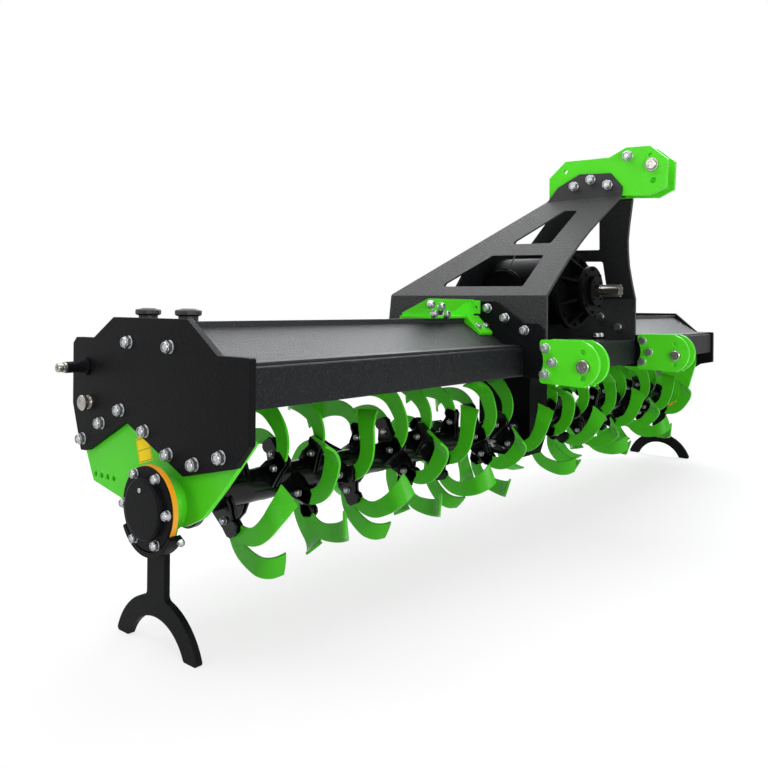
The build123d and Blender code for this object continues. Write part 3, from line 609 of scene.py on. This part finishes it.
class ROTAVATOR_OT_plates(bpy.types.Operator):
    """Beams, plates and sheets with rounded edges, in their coats"""
    bl_idname = "rotavator.plates"
    bl_label = "Plates and beams"

    def execute(self, context):
        for stem, slot, finish in PLATE_NODES:
            for node in [stem + side for side in SIDES] if stem.endswith("_") else [stem]:
                add_rounded(node, f"{node}_coated", slot, sizes().plate_edge, finish=finish)
        return {"FINISHED"}


class ROTAVATOR_OT_castings(bpy.types.Operator):
    """Gearbox, input bearing housing and drive case with cast edges"""
    bl_idname = "rotavator.castings"
    bl_label = "Castings"

    def execute(self, context):
        for node in CASTING_NODES:
            add_rounded(node, f"{node}_cast", "cast_coat", sizes().casting_edge, 3)
        return {"FINISHED"}


# ---------- bearings
CAP_R, CAP_T = 76.0, 14.0    # round cap on the flange
FLANGE_T = 7.0
NECK_R = 48.0                # neck behind the flange, inside the ring and the boss
BEARING_BOLTS_R = 91.0       # circle of the flange's bolts
PLUG_AT, PLUG_R = (6.0, 46.0), 6.0


class ROTAVATOR_OT_bearings(bpy.types.Operator):
    """Bearing housings with their caps, bolts and plugs, and the amber rings behind them"""
    bl_idname = "rotavator.bearings"
    bl_label = "Bearings"

    def execute(self, context):
        face = faces("bearing_housing_left")[0]
        flange_face = face - CAP_T
        flange_back = flange_face - FLANGE_T
        # heights of the housing's faces over the inside of the end plate
        top, rim, back = face - INNER_X, flange_face - INNER_X, flange_back - INNER_X
        housing = [(0, 0), (NECK_R, 0), (NECK_R, back), (FLANGE_R - 1.5, back), (FLANGE_R, back + 1.5),
                   (FLANGE_R, rim - 2.0), (FLANGE_R - 2.0, rim), (CAP_R + 1.5, rim), (CAP_R, rim + 1.0),
                   (CAP_R, top - 4.5), (CAP_R - 1.4, top - 2.0), (CAP_R - 5.0, top - 0.4), (CAP_R - 9.0, top),
                   (0, top)]
        plug = [(0, 0), (PLUG_R, 0), (PLUG_R, 1.6), (PLUG_R - 1, 2.4), (2.8, 2.4), (2.4, 1.0), (0, 1.0)]
        for side, sign in SIDES.items():
            add_turned(f"bearing_housing_{side}_cast", housing, 96, outwards(sign, INNER_X), "frame_coat",
                       replaces=[f"bearing_housing_{side}"])
            low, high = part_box(f"bearing_ring_{side}")
            ring_t, ring_r = (high[0] - low[0]) / MM, (high[2] - low[2]) / 2 / MM
            ring = [(NECK_R, 0), (ring_r - 1.2, 0), (ring_r, 1.2), (ring_r, ring_t - 1.2),
                    (ring_r - 1.2, ring_t), (NECK_R, ring_t)]
            add_turned(f"bearing_ring_{side}_gloss", ring, 96, outwards(sign, flange_back - ring_t),
                       "amber_seal", replaces=[f"bearing_ring_{side}"])
            end = back - ring_t - 0.5
            boss = [(NECK_R, 0), (66, 0), (57, 5), (52, 15), (50, end), (NECK_R, end)]
            add_turned(f"bearing_boss_{side}", boss, 64, outwards(sign, INNER_X), "green_coat")
            bolts = [outwards(sign, flange_face, y, z) for y, z in on_circle(6, BEARING_BOLTS_R)]
            add_copies(f"bearing_bolts_{side}", nut_template(0.74), bolts, "zinc_plate")
            add_turned(f"bearing_plug_{side}", plug, 24, outwards(sign, face, *PLUG_AT), "zinc_plate")
        return {"FINISHED"}


# ---------- bolts on the frame
# Each row is a place on a face that looks along X: y, z.
COVER_BOLTS = [(163, 395), (-19, 390)]
SHARED_BOLTS = [(199, 215), (295, 171), (392, 118), (85, 172), (-18, 126)]
GREEN_BOLTS = {"left": SHARED_BOLTS + [(-122, 116), (-222, 146)],
               "right": SHARED_BOLTS + [(-118, 150), (-185, 205)]}
END_PLATE_BOLTS = {side: COVER_BOLTS + rows for side, rows in GREEN_BOLTS.items()}
TAB_BOLTS = [(-307, 950), (-374, 969), (-440, 944)]
HITCH_BOLTS = [(-147, 489), (-219, 456), (-297, 414)]
LINK_BOLTS = [(-406, 359), (-432, 313.5), (-404, 273.5)]
TOP_BOLTS = [(-511, 1043)]
# Columns: name, distance of the face from the middle, which way it looks (1 outwards, -1 inwards),
# places (one list, or one for each side), size
BOLT_ROWS = [
    ("end_plate_bolts", END_X, 1, END_PLATE_BOLTS, 1.0),
    ("bearing_plate_bolt_heads", GREEN_X, -1, GREEN_BOLTS, 0.92),
    ("tab_bolts", TAB_X, 1, TAB_BOLTS, 1.05),
    ("hitch_bolts", HITCH_X, 1, HITCH_BOLTS, 1.0),
    ("hitch_bolt_heads", HEADSTOCK_INNER_X, -1, HITCH_BOLTS, 0.95),
    ("link_bolts", LINK_X, 1, LINK_BOLTS, 1.0),
    ("link_bolt_heads", LINK_INNER_X, -1, LINK_BOLTS, 0.95),
    ("top_link_bolts", TOP_X, 1, TOP_BOLTS, 1.1),
]


class ROTAVATOR_OT_bolts(bpy.types.Operator):
    """Plated nuts and bolt heads on the end plates, headstock and hitch"""
    bl_idname = "rotavator.bolts"
    bl_label = "Frame bolts"

    def execute(self, context):
        for name, face, looks, rows, size in BOLT_ROWS:
            places = []
            for side, sign in SIDES.items():
                direction = ALONG_X[sign * looks]
                chosen = rows[side] if isinstance(rows, dict) else rows
                places += [facing(spot(sign * face, y, z), direction) for y, z in chosen]
            add_copies(name, nut_template(size, stud=looks > 0), places, "zinc_plate")
        return {"FINISHED"}


# ---------- hitch pins
STUB_AT = (376.0, 320.0)
SIDE_PIN_AT = (359.0, 222.0)


class ROTAVATOR_OT_pins(bpy.types.Operator):
    """Hitch pins with grooved heads, and the pins and stubs on the end plates"""
    bl_idname = "rotavator.pins"
    bl_label = "Pins"

    def execute(self, context):
        for side, sign in SIDES.items():
            node = f"lower_link_pin_{side}"
            low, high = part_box(node)
            length = (high[0] - low[0]) / MM
            head = length - 14
            profile = [(0, 0), (17, 0), (20, 2.5), (20, 13.5), (14.2, 13.5), (14.2, head), (22, head),
                       (22, length - 2.5), (20, length), (14, length), (13.2, length - 1.2),
                       (9.6, length - 1.2), (8.8, length), (4, length), (3, length - 3), (0, length - 3)]
            place = Vector((high[0] if sign < 0 else low[0], *middle(node)))
            add_turned(f"{node}_turned", profile, 40, facing(place, ALONG_X[sign]), "bare_steel",
                       replaces=[node])
        low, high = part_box("top_link_pin")
        length = (high[0] - low[0]) / MM
        head = length - 16
        profile = [(0, 0), (10.7, 0), (12.7, 2), (12.7, head), (23.5, head), (23.5, head + 4),
                   (19, head + 4.5), (19, length - 3), (16.5, length), (8.5, length), (7.5, length - 2),
                   (0, length - 2)]
        place = Vector((high[0], *middle("top_link_pin")))
        add_turned("top_link_pin_turned", profile, 40, facing(place, ALONG_X[-1]), "bare_steel",
                   replaces=["top_link_pin"])
        self.stubs()
        return {"FINISHED"}

    def stubs(self):
        """Roller stubs (collar, black shank, bright tip) and side pins, both sides in one piece each."""
        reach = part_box("roller_pivots")[1][0] / MM - END_X
        tip = reach - 24
        shank = [(0, 0), (25, 0), (25, 7), (22, 10), (17.5, 10.5), (16.5, 16), (16.5, 24), (15.5, 25),
                 (15.5, tip), (0, tip)]
        bright = [(0, tip - 1), (14.5, tip - 1), (14.5, tip + 6), (11, tip + 7), (11, reach - 13),
                  (12.5, reach - 12), (12.5, reach - 2), (11, reach), (5, reach), (4, reach - 4),
                  (0, reach - 4)]
        knob = [(0, 0), (20, 0), (20, 4), (19, 6), (15, 6), (15, 12), (19, 13), (21.5, 15), (21.5, 23),
                (19, 26), (9, 26), (8, 25), (0, 25)]
        for name, profile, slot, replaced, (y, z) in (
                ("roller_stub_shanks", shank, "frame_coat", ["roller_pivots"], STUB_AT),
                ("roller_stub_tips", bright, "bare_steel", [], STUB_AT),
                ("side_pin_knobs", knob, "bare_steel", ["side_pins"], SIDE_PIN_AT)):
            template = as_mesh(turned(profile, 40), name)
            add_copies(name, template, both_sides(END_X, y, z), slot, replaces=replaced)


# ---------- blades
# The strip's own drawing, in a holder that points up: y runs the way in which the blade sweeps, z away from
# the axis. Lengths along the strip start at its root and follow its middle line. Angles are in degrees.
BLADE_EDGE = 1.2 * MM
ROOT = (-4.5, 57.6)
ROOT_HEADING = 2.2
STRAIGHT = 27.0
CURVES = [(84.0, 121.1), (223.5, 295.6)]    # after the straight: radius, greatest length
STRIP_LENGTH = 295.6
ROOT_W, TIP_W = 35.0, 65.1
END_SLANT = 13.0                            # how far the tip's corners lie past and short of its end
BEND_AT, BEND_SLANT, BEND_R = 203.6, 10.0, 68.0    # line of the sideways bend: place, slant, radius
SWING_R = 255.8                             # circle in which every blade stays
BOLT_R = 77.0                               # where the holder's bolt goes through the strip
HELIX_STEPS = 17                            # from the first station to the last
HELIX_TURN = 62.2                           # from one station to the next
HELIX_START = {"left": {"towards": 63.6, "away": 280.5}, "right": {"towards": 80.0, "away": 284.0}}
CASE_GAP, OUTER_GAP = 68.0, 140.0           # from the drive case and the end plates to the nearest stations


def middle_line(s):
    """Point (y, z) and heading at length s along the strip."""
    heading = math.radians(ROOT_HEADING)
    run = min(s, STRAIGHT)
    y = ROOT[0] + run * math.sin(heading)
    z = ROOT[1] + run * math.cos(heading)
    left = s - run
    for radius, length in CURVES:
        turn = min(left, length) / radius
        y += radius * (math.cos(heading) - math.cos(heading + turn))
        z += radius * (math.sin(heading + turn) - math.sin(heading))
        heading += turn
        left -= min(left, length)
    return y, z, heading


def rolled(share, edge):
    """Where the strip's point at that share of its length, edge -1 to 1 across it, lies once it is bent."""
    y, z, heading = middle_line(share * (STRIP_LENGTH + edge * END_SLANT))
    half = (ROOT_W + (TIP_W - ROOT_W) * share) / 2
    y, z = y + edge * half * math.cos(heading), z - edge * half * math.sin(heading)
    bend_y, bend_z, advance = middle_line(BEND_AT)
    advance -= math.radians(BEND_SLANT)
    along = (math.sin(advance), math.cos(advance))
    past = (y - bend_y) * along[0] + (z - bend_z) * along[1]
    if past <= 0:
        return Vector((0, y, z))
    turn = past / BEND_R
    back = BEND_R * math.sin(turn) - past
    return Vector((BEND_R * (1 - math.cos(turn)), y + along[0] * back, z + along[1] * back))


def blade_template():
    """One blade that bends towards +X, in a holder that points up."""
    bm = bmesh.new()
    bmesh.ops.create_grid(bm, x_segments=30, y_segments=3, size=0.5)
    for vert in bm.verts:
        place = rolled(vert.co.x + 0.5, vert.co.y * 2)
        radius = math.hypot(place.y, place.z)
        if radius > SWING_R - 1:
            place.yz = place.yz * (SWING_R - 1) / radius
        vert.co = place * MM
    bm.normal_update()
    thickness = sizes().blade
    for vert in bm.verts:
        vert.co -= vert.normal * thickness / 2
    bmesh.ops.solidify(bm, geom=bm.faces, thickness=thickness)
    outward(bm)
    round_edges(bm, BLADE_EDGE, 2, math.radians(50))
    return as_mesh(bm, "blade_template")


def stations(side):
    """Place and turn of each blade on one half: matrix, and 1 or -1 for the way in which it bends."""
    sign = SIDES[side]
    first = CASE_X[side] + sign * CASE_GAP
    last = sign * (INNER_X - OUTER_GAP)
    for step in range(HELIX_STEPS + 1):
        x = first + (last - first) * step / HELIX_STEPS
        for helix, bend in (("towards", -sign), ("away", sign)):
            angle = HELIX_START[side][helix] + HELIX_TURN * step
            turn = Matrix.Rotation(math.radians(180 - angle), 4, "X")
            yield Matrix.Translation(spot(x, 0, 0)) @ turn, bend


class ROTAVATOR_OT_blades(bpy.types.Operator):
    """Bent blades on both halves of the rotor"""
    bl_idname = "rotavator.blades"
    bl_label = "Blades"

    def execute(self, context):
        template = blade_template()
        for side in SIDES:
            places = [matrix @ Matrix.Scale(bend, 4, (1, 0, 0)) for matrix, bend in stations(side)]
            add_copies(f"blades_{side}_painted", template, places, "green_coat", "rotor", [f"blades_{side}"],
                       finish="blade_coat")
        return {"FINISHED"}


# ---------- blade holders
CHEEK_T = 8.0
HOLDER_EDGE = 1.4 * MM
CHEEK_OUTLINE = [(-36, 30), (36, 30), (34, 60), (22, 84), (20, 92), (27, 100), (27, 114), (16, 125),
                 (-14, 125), (-24, 113), (-25, 88)]
WEB_OUTLINE = [(-26, 36), (24, 36), (20, 56), (-22, 56)]


def holder_template():
    """Two cheeks and the web between them below the blade's root."""
    bm = bmesh.new()
    gap = sizes().blade
    for sign in (-1, 1):
        upright(bm, CHEEK_OUTLINE, sign * gap / 2, sign * CHEEK_T * MM)
    upright(bm, WEB_OUTLINE, -gap / 2, gap)
    outward(bm)
    round_edges(bm, HOLDER_EDGE)
    return as_mesh(bm, "holder_template")


class ROTAVATOR_OT_holders(bpy.types.Operator):
    """Blade holders on the rotor tubes with a bolt and nut through each"""
    bl_idname = "rotavator.holders"
    bl_label = "Blade holders"

    def execute(self, context):
        template = holder_template()
        nut = nut_template(0.62)
        bolt_y, bolt_z, _ = middle_line(BOLT_R - ROOT[1])
        cheek_face = sizes().blade / 2 + CHEEK_T * MM
        for side in SIDES:
            places = [matrix for matrix, _ in stations(side)]
            add_copies(f"blade_holders_{side}_welded", template, places, "rotor_coat", "rotor",
                       [f"blade_holders_{side}"])
            nuts = [matrix @ facing(Vector((sign * cheek_face, bolt_y * MM, bolt_z * MM)), ALONG_X[sign])
                    for matrix in places for sign in (-1, 1)]
            add_copies(f"blade_bolts_{side}", nut, nuts, "zinc_plate", "rotor")
        return {"FINISHED"}


# ---------- rotor tubes
TUBE_R, COLLAR_R, STUB_R = 44.5, 45.6, 30.0
HUB_R, HUB_T = 80.0, 12.0      # flange at the drive case
END_R, END_T = 71.0, 18.0      # flange at the end plate
TUBE_GAP = 40.0                # between that flange and the end plate's inner face
ROTOR_SHAFT_EDGE = 1.2 * MM


class ROTAVATOR_OT_rotor(bpy.types.Operator):
    """Rotor tubes with weld collars under the holders, hub flanges and their bolts"""
    bl_idname = "rotavator.rotor"
    bl_label = "Rotor tubes"

    def execute(self, context):
        bolt = nut_template(0.52)
        for side, sign in SIDES.items():
            node = f"rotor_tube_{side}"
            low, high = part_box(node)
            inner = (high[0] if sign < 0 else low[0]) / MM
            length = (high[0] - low[0]) / MM
            tube_end = INNER_X - TUBE_GAP - abs(inner)
            flange = tube_end - END_T
            profile = [(0, 0), (HUB_R - 1, 0), (HUB_R, 1), (HUB_R, HUB_T - 1), (HUB_R - 1, HUB_T),
                       (TUBE_R + 4, HUB_T), (TUBE_R, HUB_T + 4)]
            along = {round(abs(matrix.translation.x / MM - inner), 3) for matrix, _ in stations(side)}
            for at in sorted(along):
                profile += [(TUBE_R, at - 19), (COLLAR_R, at - 16), (COLLAR_R, at + 16), (TUBE_R, at + 19)]
            profile += [(TUBE_R, flange - 6), (TUBE_R + 3, flange - 2), (END_R - 1, flange),
                        (END_R, flange + 1), (END_R, tube_end - 1), (END_R - 1, tube_end), (STUB_R, tube_end),
                        (STUB_R, length - 2), (STUB_R - 2, length), (0, length)]
            add_turned(f"{node}_painted", profile, 72, facing(spot(inner, 0, 0), ALONG_X[sign]),
                       "rotor_coat", "rotor", [node])
            places = []
            # count, radius of the circle, distance along the tube, which way (1 outwards, -1 inwards)
            for count, circle, at, looks in ((8, 66.0, HUB_T, 1), (6, 59.0, flange, -1)):
                places += [facing(spot(inner + sign * at, y, z), ALONG_X[sign * looks])
                           for y, z in on_circle(count, circle, 0.5)]
            add_copies(f"rotor_flange_bolts_{side}", bolt, places, "zinc_plate", "rotor")
        add_rounded("rotor_shaft", "rotor_shaft_painted", "rotor_coat", ROTOR_SHAFT_EDGE, body="rotor")
        return {"FINISHED"}


# ---------- gearbox fittings
# Each row is a place on the deck: x, y.
DECK_BOLTS = [(-300, -60), (300, -60), (-288, -242), (288, -242), (-330, -242), (330, -242)]
DECK_PAD_H = 10.0
COVER_H = 22.0
SPLINE_EDGE = 0.9 * MM
CENTRE_DEPTH = 0.8 * MM
DIPSTICK_AT = (-120.0, -60.0, SHAFT_Z + 76.0)
DIPSTICK_LEAN = (-0.12, -0.52, 0.85)


class ROTAVATOR_OT_gearbox(bpy.types.Operator):
    """Side covers, screws, dipstick and the splined input shaft"""
    bl_idname = "rotavator.gearbox"
    bl_label = "Gearbox fittings"

    def execute(self, context):
        self.covers()
        self.screws()
        self.deck_bolts()
        self.shaft()
        self.dipstick()
        return {"FINISHED"}

    def covers(self):
        low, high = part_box("gearbox_side_covers")
        radius = (high[2] - low[2]) / 2 / MM
        y, z = middle("gearbox_side_covers")
        profile = [(0, 0), (radius - 1.5, 0), (radius, 1.5), (radius, 7), (radius - 3, 9), (radius - 8, 9.5),
                   (radius - 8, 13), (radius - 5, 14), (radius - 5, 19), (radius - 8, COVER_H),
                   (radius - 16, COVER_H), (radius - 20, 19), (18, 19), (16, 20.5), (0, 20.5)]
        places = both_sides(high[0] / MM - COVER_H, (y - AXIS_Y) / MM, (z - AXIS_Z) / MM)
        add_copies("gearbox_side_covers_cast", as_mesh(turned(profile, 72), "cover"), places, "cast_coat",
                   replaces=["gearbox_side_covers"])

    def screws(self):
        low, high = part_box("input_bearing_housing")
        face, back = (low[1] - AXIS_Y) / MM, (high[1] - AXIS_Y) / MM
        # count, radius of the circle, y of the face, screw's radius, its height, share of a step to start at
        rows = [(8, 128.0, back - 10.0, 8.0, 8.0, 0.0), (8, 81.0, face + 18.0, 6.0, 6.0, 0.0),
                (4, 44.0, face, 4.0, 4.0, 0.5)]
        for number, (count, circle, y, radius, height, first) in enumerate(rows, 1):
            places = [facing(spot(x, y, SHAFT_Z + z), (0, -1, 0)) for x, z in on_circle(count, circle, first)]
            template = cap_screw_template(radius, height)
            add_copies(f"input_housing_screws_{number}", template, places, "cast_coat")

    def deck_bolts(self):
        pad = [(0, 0), (18, 0), (18, 8.5), (16.5, DECK_PAD_H), (0, DECK_PAD_H)]
        for name, template, z, slot in (
                ("deck_bolt_pads", as_mesh(turned(pad, 24), "pad"), DECK_TOP, "frame_coat"),
                ("deck_bolts", nut_template(0.8), DECK_TOP + DECK_PAD_H, "zinc_plate")):
            places = [facing(spot(x, y, z), (0, 0, 1)) for x, y in DECK_BOLTS]
            add_copies(name, template, places, slot)

    def shaft(self):
        """The shaft with its edges rounded and a turned centre in its end."""
        bm = node_shape("pto_shaft")
        round_edges(bm, SPLINE_EDGE)
        place = Vector((0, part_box("pto_shaft")[0][1] + CENTRE_DEPTH, AXIS_Z + SHAFT_Z * MM))
        centre = [(0, -2), (6.6, -2), (6.6, 0.1), (6.0, 0.7), (4.6, 0.7), (2.4, 0.1), (0, 0.1)]
        join(bm, turned(centre, 24, at=facing(place, (0, -1, 0))))
        add_piece("pto_shaft_splined", bm, "bare_steel", "pto", ["pto_shaft"], sharp=math.radians(30),
                  finish="splined_steel")

    def dipstick(self):
        profile = [(0, 0), (2.2, 0), (2.2, 70), (4.5, 72), (5.0, 76), (4.5, 82), (0, 84)]
        add_turned("dipstick", profile, 16, facing(spot(*DIPSTICK_AT), DIPSTICK_LEAN), "zinc_plate")


# ---------- small fittings
CAP_NECK_R, CAP_GRIP_H = 25.0, 17.0
CAP_RIBS, CAP_RIB_SHARE = 18, 0.035  # their number, and their depth as a share of the radius
STICKER_AT = (119.5, 118.5)
STICKER_TILT = -17.0                 # degrees
STICKER_T = 0.4 * MM
CROSS_PLATE_Y = -108.0               # face that the bracket's bolts sit on
CROSS_PLATE_BOLTS = [(-694, 500), (-636, 493.5), (-676, 469.5), (-606, 467.5)]
BRACKET_T = 8.0                      # thickness of its tab on the hood's slope
HOOD_TAB_X, HOOD_TAB_Y = (-462.0, -414.0), -138.0    # its two bolts
STAND_BOLTS = [(-100, -62), (100, -62)]    # directions from the rotor axis: y, z
STAND_BOLTS_R = 122.5
STAND_BOLTS_INSET = 26.0


class ROTAVATOR_OT_fittings(bpy.types.Operator):
    """Filler caps, sticker, stand bolts and the bracket's bolts"""
    bl_idname = "rotavator.fittings"
    bl_label = "Small fittings"

    def execute(self, context):
        self.caps()
        self.sticker()
        self.bracket_bolts()
        self.stand_bolts()
        return {"FINISHED"}

    def caps(self):
        """Two filler caps with ribs around their grips."""
        low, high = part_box("filler_caps")
        height = (high[2] - low[2]) / MM
        radius = (high[0] - low[0]) / 2 / MM
        grip, neck = height - CAP_GRIP_H, CAP_NECK_R
        cap = turned([(0, 0), (neck + 5, 0), (neck + 5, 4), (neck, 6), (neck, grip - 3),
                      (radius - 3, grip - 1), (radius - 0.5, grip + 2), (radius - 0.5, height - 6),
                      (radius - 3, height - 3.2), (radius - 12, height - 2.6), (radius - 16, height - 0.6),
                      (radius - 22, height), (0, height)], 72)
        for vert in cap.verts:
            if vert.co.xy.length > (radius - 3.2) * MM and vert.co.z > (grip - 2) * MM:
                turn = math.atan2(vert.co.y, vert.co.x)
                vert.co.xy *= 1.0 - CAP_RIB_SHARE * (0.5 + 0.5 * math.cos(turn * CAP_RIBS))
        x = (low[0] + high[0]) / 2
        places = [Matrix.Translation((x, y, low[2])) for y in (low[1] + radius * MM, high[1] - radius * MM)]
        add_copies("filler_caps_moulded", as_mesh(cap, "cap"), places, "cap_plastic",
                   replaces=["filler_caps"])

    def sticker(self):
        """A blank film on the outside of the left bearing plate, with its own UV map."""
        bm = bmesh.new()
        bmesh.ops.create_grid(bm, x_segments=4, y_segments=4, size=0.5)
        uv = bm.loops.layers.uv.new("film")
        for face in bm.faces:
            for loop in face.loops:
                loop[uv].uv = (loop.vert.co.x + 0.5, loop.vert.co.y + 0.5)
        for vert in bm.verts:
            vert.co = Vector((vert.co.x * STICKER_SIZE[0] * MM, vert.co.y * STICKER_SIZE[1] * MM, STICKER_T))
        bmesh.ops.solidify(bm, geom=bm.faces, thickness=STICKER_T)
        turn = Matrix(((0, 0, -1, 0), (-1, 0, 0, 0), (0, 1, 0, 0), (0, 0, 0, 1)))
        lean = Matrix.Rotation(math.radians(STICKER_TILT), 4, "X")
        place = Matrix.Translation(spot(-INNER_X, *STICKER_AT))
        bmesh.ops.transform(bm, matrix=place @ lean @ turn, verts=bm.verts)
        outward(bm)
        add_piece("blank_sticker", bm, "amber_seal", finish="sticker")

    def bracket_bolts(self):
        """Bolts and nuts in the cross plate, and two in the tab on the hood's slope."""
        rows = [facing(spot(x, CROSS_PLATE_Y, z), (0, -1, 0)) for x, z in CROSS_PLATE_BOLTS]
        out = Vector((0, HOOD_FOOT_Z - CREST, CREASE_Y - HOOD_FOOT_Y)).normalized()
        share = (HOOD_TAB_Y - HOOD_FOOT_Y) / (CREASE_Y - HOOD_FOOT_Y)
        z = HOOD_FOOT_Z + share * (CREST - HOOD_FOOT_Z)
        rows += [facing(spot(x, HOOD_TAB_Y, z) + out * BRACKET_T * MM, out) for x in HOOD_TAB_X]
        add_copies("bracket_bolts", nut_template(0.86), rows, "zinc_plate")

    def stand_bolts(self):
        x = faces("stand_left")[0] - STAND_BOLTS_INSET
        rows = []
        for sign in SIDES.values():
            for y, z in STAND_BOLTS:
                out = Vector((0, y, z)).normalized()
                rows.append(facing(spot(sign * x, 0, 0) + out * STAND_BOLTS_R * MM, out))
        add_copies("stand_bolts", nut_template(0.56), rows, "zinc_plate")


# ---------- stage
# Columns: name, place, target, size, power, colour
LAMPS = [
    ("top_light", (-0.8, 1.1, 3.7), (-0.8, 0.2, 0.4), (4.8, 3.6), 172.0, (1.0, 1.0, 1.0)),
    ("front_light", (-2.2, -4.4, 1.7), (0, 0, 0.4), (3.0, 1.6), 122.0, (1.0, 1.0, 1.0)),
    ("left_light", (-5.2, 0.8, 2.4), (-0.8, 0, 0.5), (2.0, 2.0), 30.0, (1.0, 1.0, 1.0)),
    ("right_light", (2.6, 1.1, 3.0), (-0.6, 0, 0.75), (3.3, 2.8), 172.0, (0.93, 0.96, 1.0)),
]
FILL_STRENGTH = 0.25                          # of the world's light on surfaces
FLOOR_HALF = 20.0                             # metres
CAMERA_AT = (-2740.9, -1635.6, 495.7)
CAMERA_HEADING, CAMERA_ROLL = 49.81, 0.476    # degrees
CAMERA_LENS = 36.14                           # on a sensor 36 mm wide
CAMERA_SHIFT = (0.00113, -0.1022)


class ROTAVATOR_OT_stage(bpy.types.Operator):
    """Pale floor, soft studio light and the camera"""
    bl_idname = "rotavator.stage"
    bl_label = "Stage"

    def execute(self, context):
        bm = bmesh.new()
        bmesh.ops.create_grid(bm, x_segments=1, y_segments=1, size=FLOOR_HALF)
        mesh = as_mesh(bm, "floor")
        mesh.materials.append(floor_paint())
        floor = bpy.data.objects.new("floor", mesh)
        bpy.context.collection.objects.link(floor)
        self.world(context.scene)
        for name, place, target, (width, depth), power, colour in LAMPS:
            lamp = bpy.data.lights.new(name, "AREA")
            lamp.color = colour
            lamp.shape = "RECTANGLE"
            lamp.size = width
            lamp.size_y = depth
            lamp.energy = power
            holder = bpy.data.objects.new(name, lamp)
            holder.location = place
            aim = Vector(target) - Vector(place)
            holder.rotation_euler = aim.to_track_quat("-Z", "Y").to_euler()
            bpy.context.collection.objects.link(holder)
        self.camera(context.scene)
        return {"FINISHED"}

    def world(self, scene):
        """White where it is seen, a dim fill for the rest."""
        scene.view_settings.view_transform = "Standard"
        world = bpy.data.worlds.new("studio")
        world.use_nodes = True
        scene.world = world
        nodes = Nodes(world.node_tree)
        fill, white = (nodes.node("ShaderNodeBackground", {}, {"Color": WHITE, "Strength": strength})
                       for strength in (FILL_STRENGTH, 1.0))
        mixed = nodes.node("ShaderNodeMixShader", {}, {0: nodes.seen(), 1: fill, 2: white})
        nodes.node("ShaderNodeOutputWorld", {}, {"Surface": mixed})

    def camera(self, scene):
        heading = math.radians(CAMERA_HEADING)
        forward = Vector((math.sin(heading), math.cos(heading), 0))
        turn = forward.to_track_quat("-Z", "Y").to_matrix().to_4x4()
        roll = Matrix.Rotation(math.radians(CAMERA_ROLL), 4, "Z")
        data = bpy.data.cameras.new("view")
        data.sensor_width = 36.0
        data.lens = CAMERA_LENS
        data.shift_x, data.shift_y = CAMERA_SHIFT
        camera = bpy.data.objects.new("view", data)
        camera.matrix_world = Matrix.Translation(spot(*CAMERA_AT)) @ turn @ roll
        bpy.context.collection.objects.link(camera)
        scene.camera = camera


# ---------- panel and registration
PIECE_OPERATORS = [
    ROTAVATOR_OT_plates, ROTAVATOR_OT_castings, ROTAVATOR_OT_bearings, ROTAVATOR_OT_bolts, ROTAVATOR_OT_pins,
    ROTAVATOR_OT_blades, ROTAVATOR_OT_holders, ROTAVATOR_OT_rotor, ROTAVATOR_OT_gearbox,
    ROTAVATOR_OT_fittings, ROTAVATOR_OT_stage,
]


class ROTAVATOR_PT_panel(bpy.types.Panel):
    """Lists the settings and the operators"""
    bl_idname = "ROTAVATOR_PT_panel"
    bl_label = "Rotavator"
    bl_space_type = "VIEW_3D"
    bl_region_type = "UI"
    bl_category = "Rotavator"

    def draw(self, context):
        layout = self.layout
        for group in (context.scene.rotavator_finishes, context.scene.rotavator_sizes):
            for name in group.bl_rna.properties.keys():
                if name not in ("rna_type", "name"):
                    layout.prop(group, name)
        for operator in PIECE_OPERATORS:
            layout.operator(operator.bl_idname)


CLASSES = [FinishSettings, SizeSettings, *PIECE_OPERATORS, ROTAVATOR_PT_panel]


def register():
    for item in CLASSES:
        bpy.utils.register_class(item)
    bpy.types.Scene.rotavator_finishes = PointerProperty(type=FinishSettings)
    bpy.types.Scene.rotavator_sizes = PointerProperty(type=SizeSettings)


def unregister():
    del bpy.types.Scene.rotavator_sizes
    del bpy.types.Scene.rotavator_finishes
    for item in reversed(CLASSES):
        bpy.utils.unregister_class(item)


def main():
    register()
    for operator in PIECE_OPERATORS:
        group, name = operator.bl_idname.split(".")
        getattr(getattr(bpy.ops, group), name)()


if __name__ == "__main__":
    main()
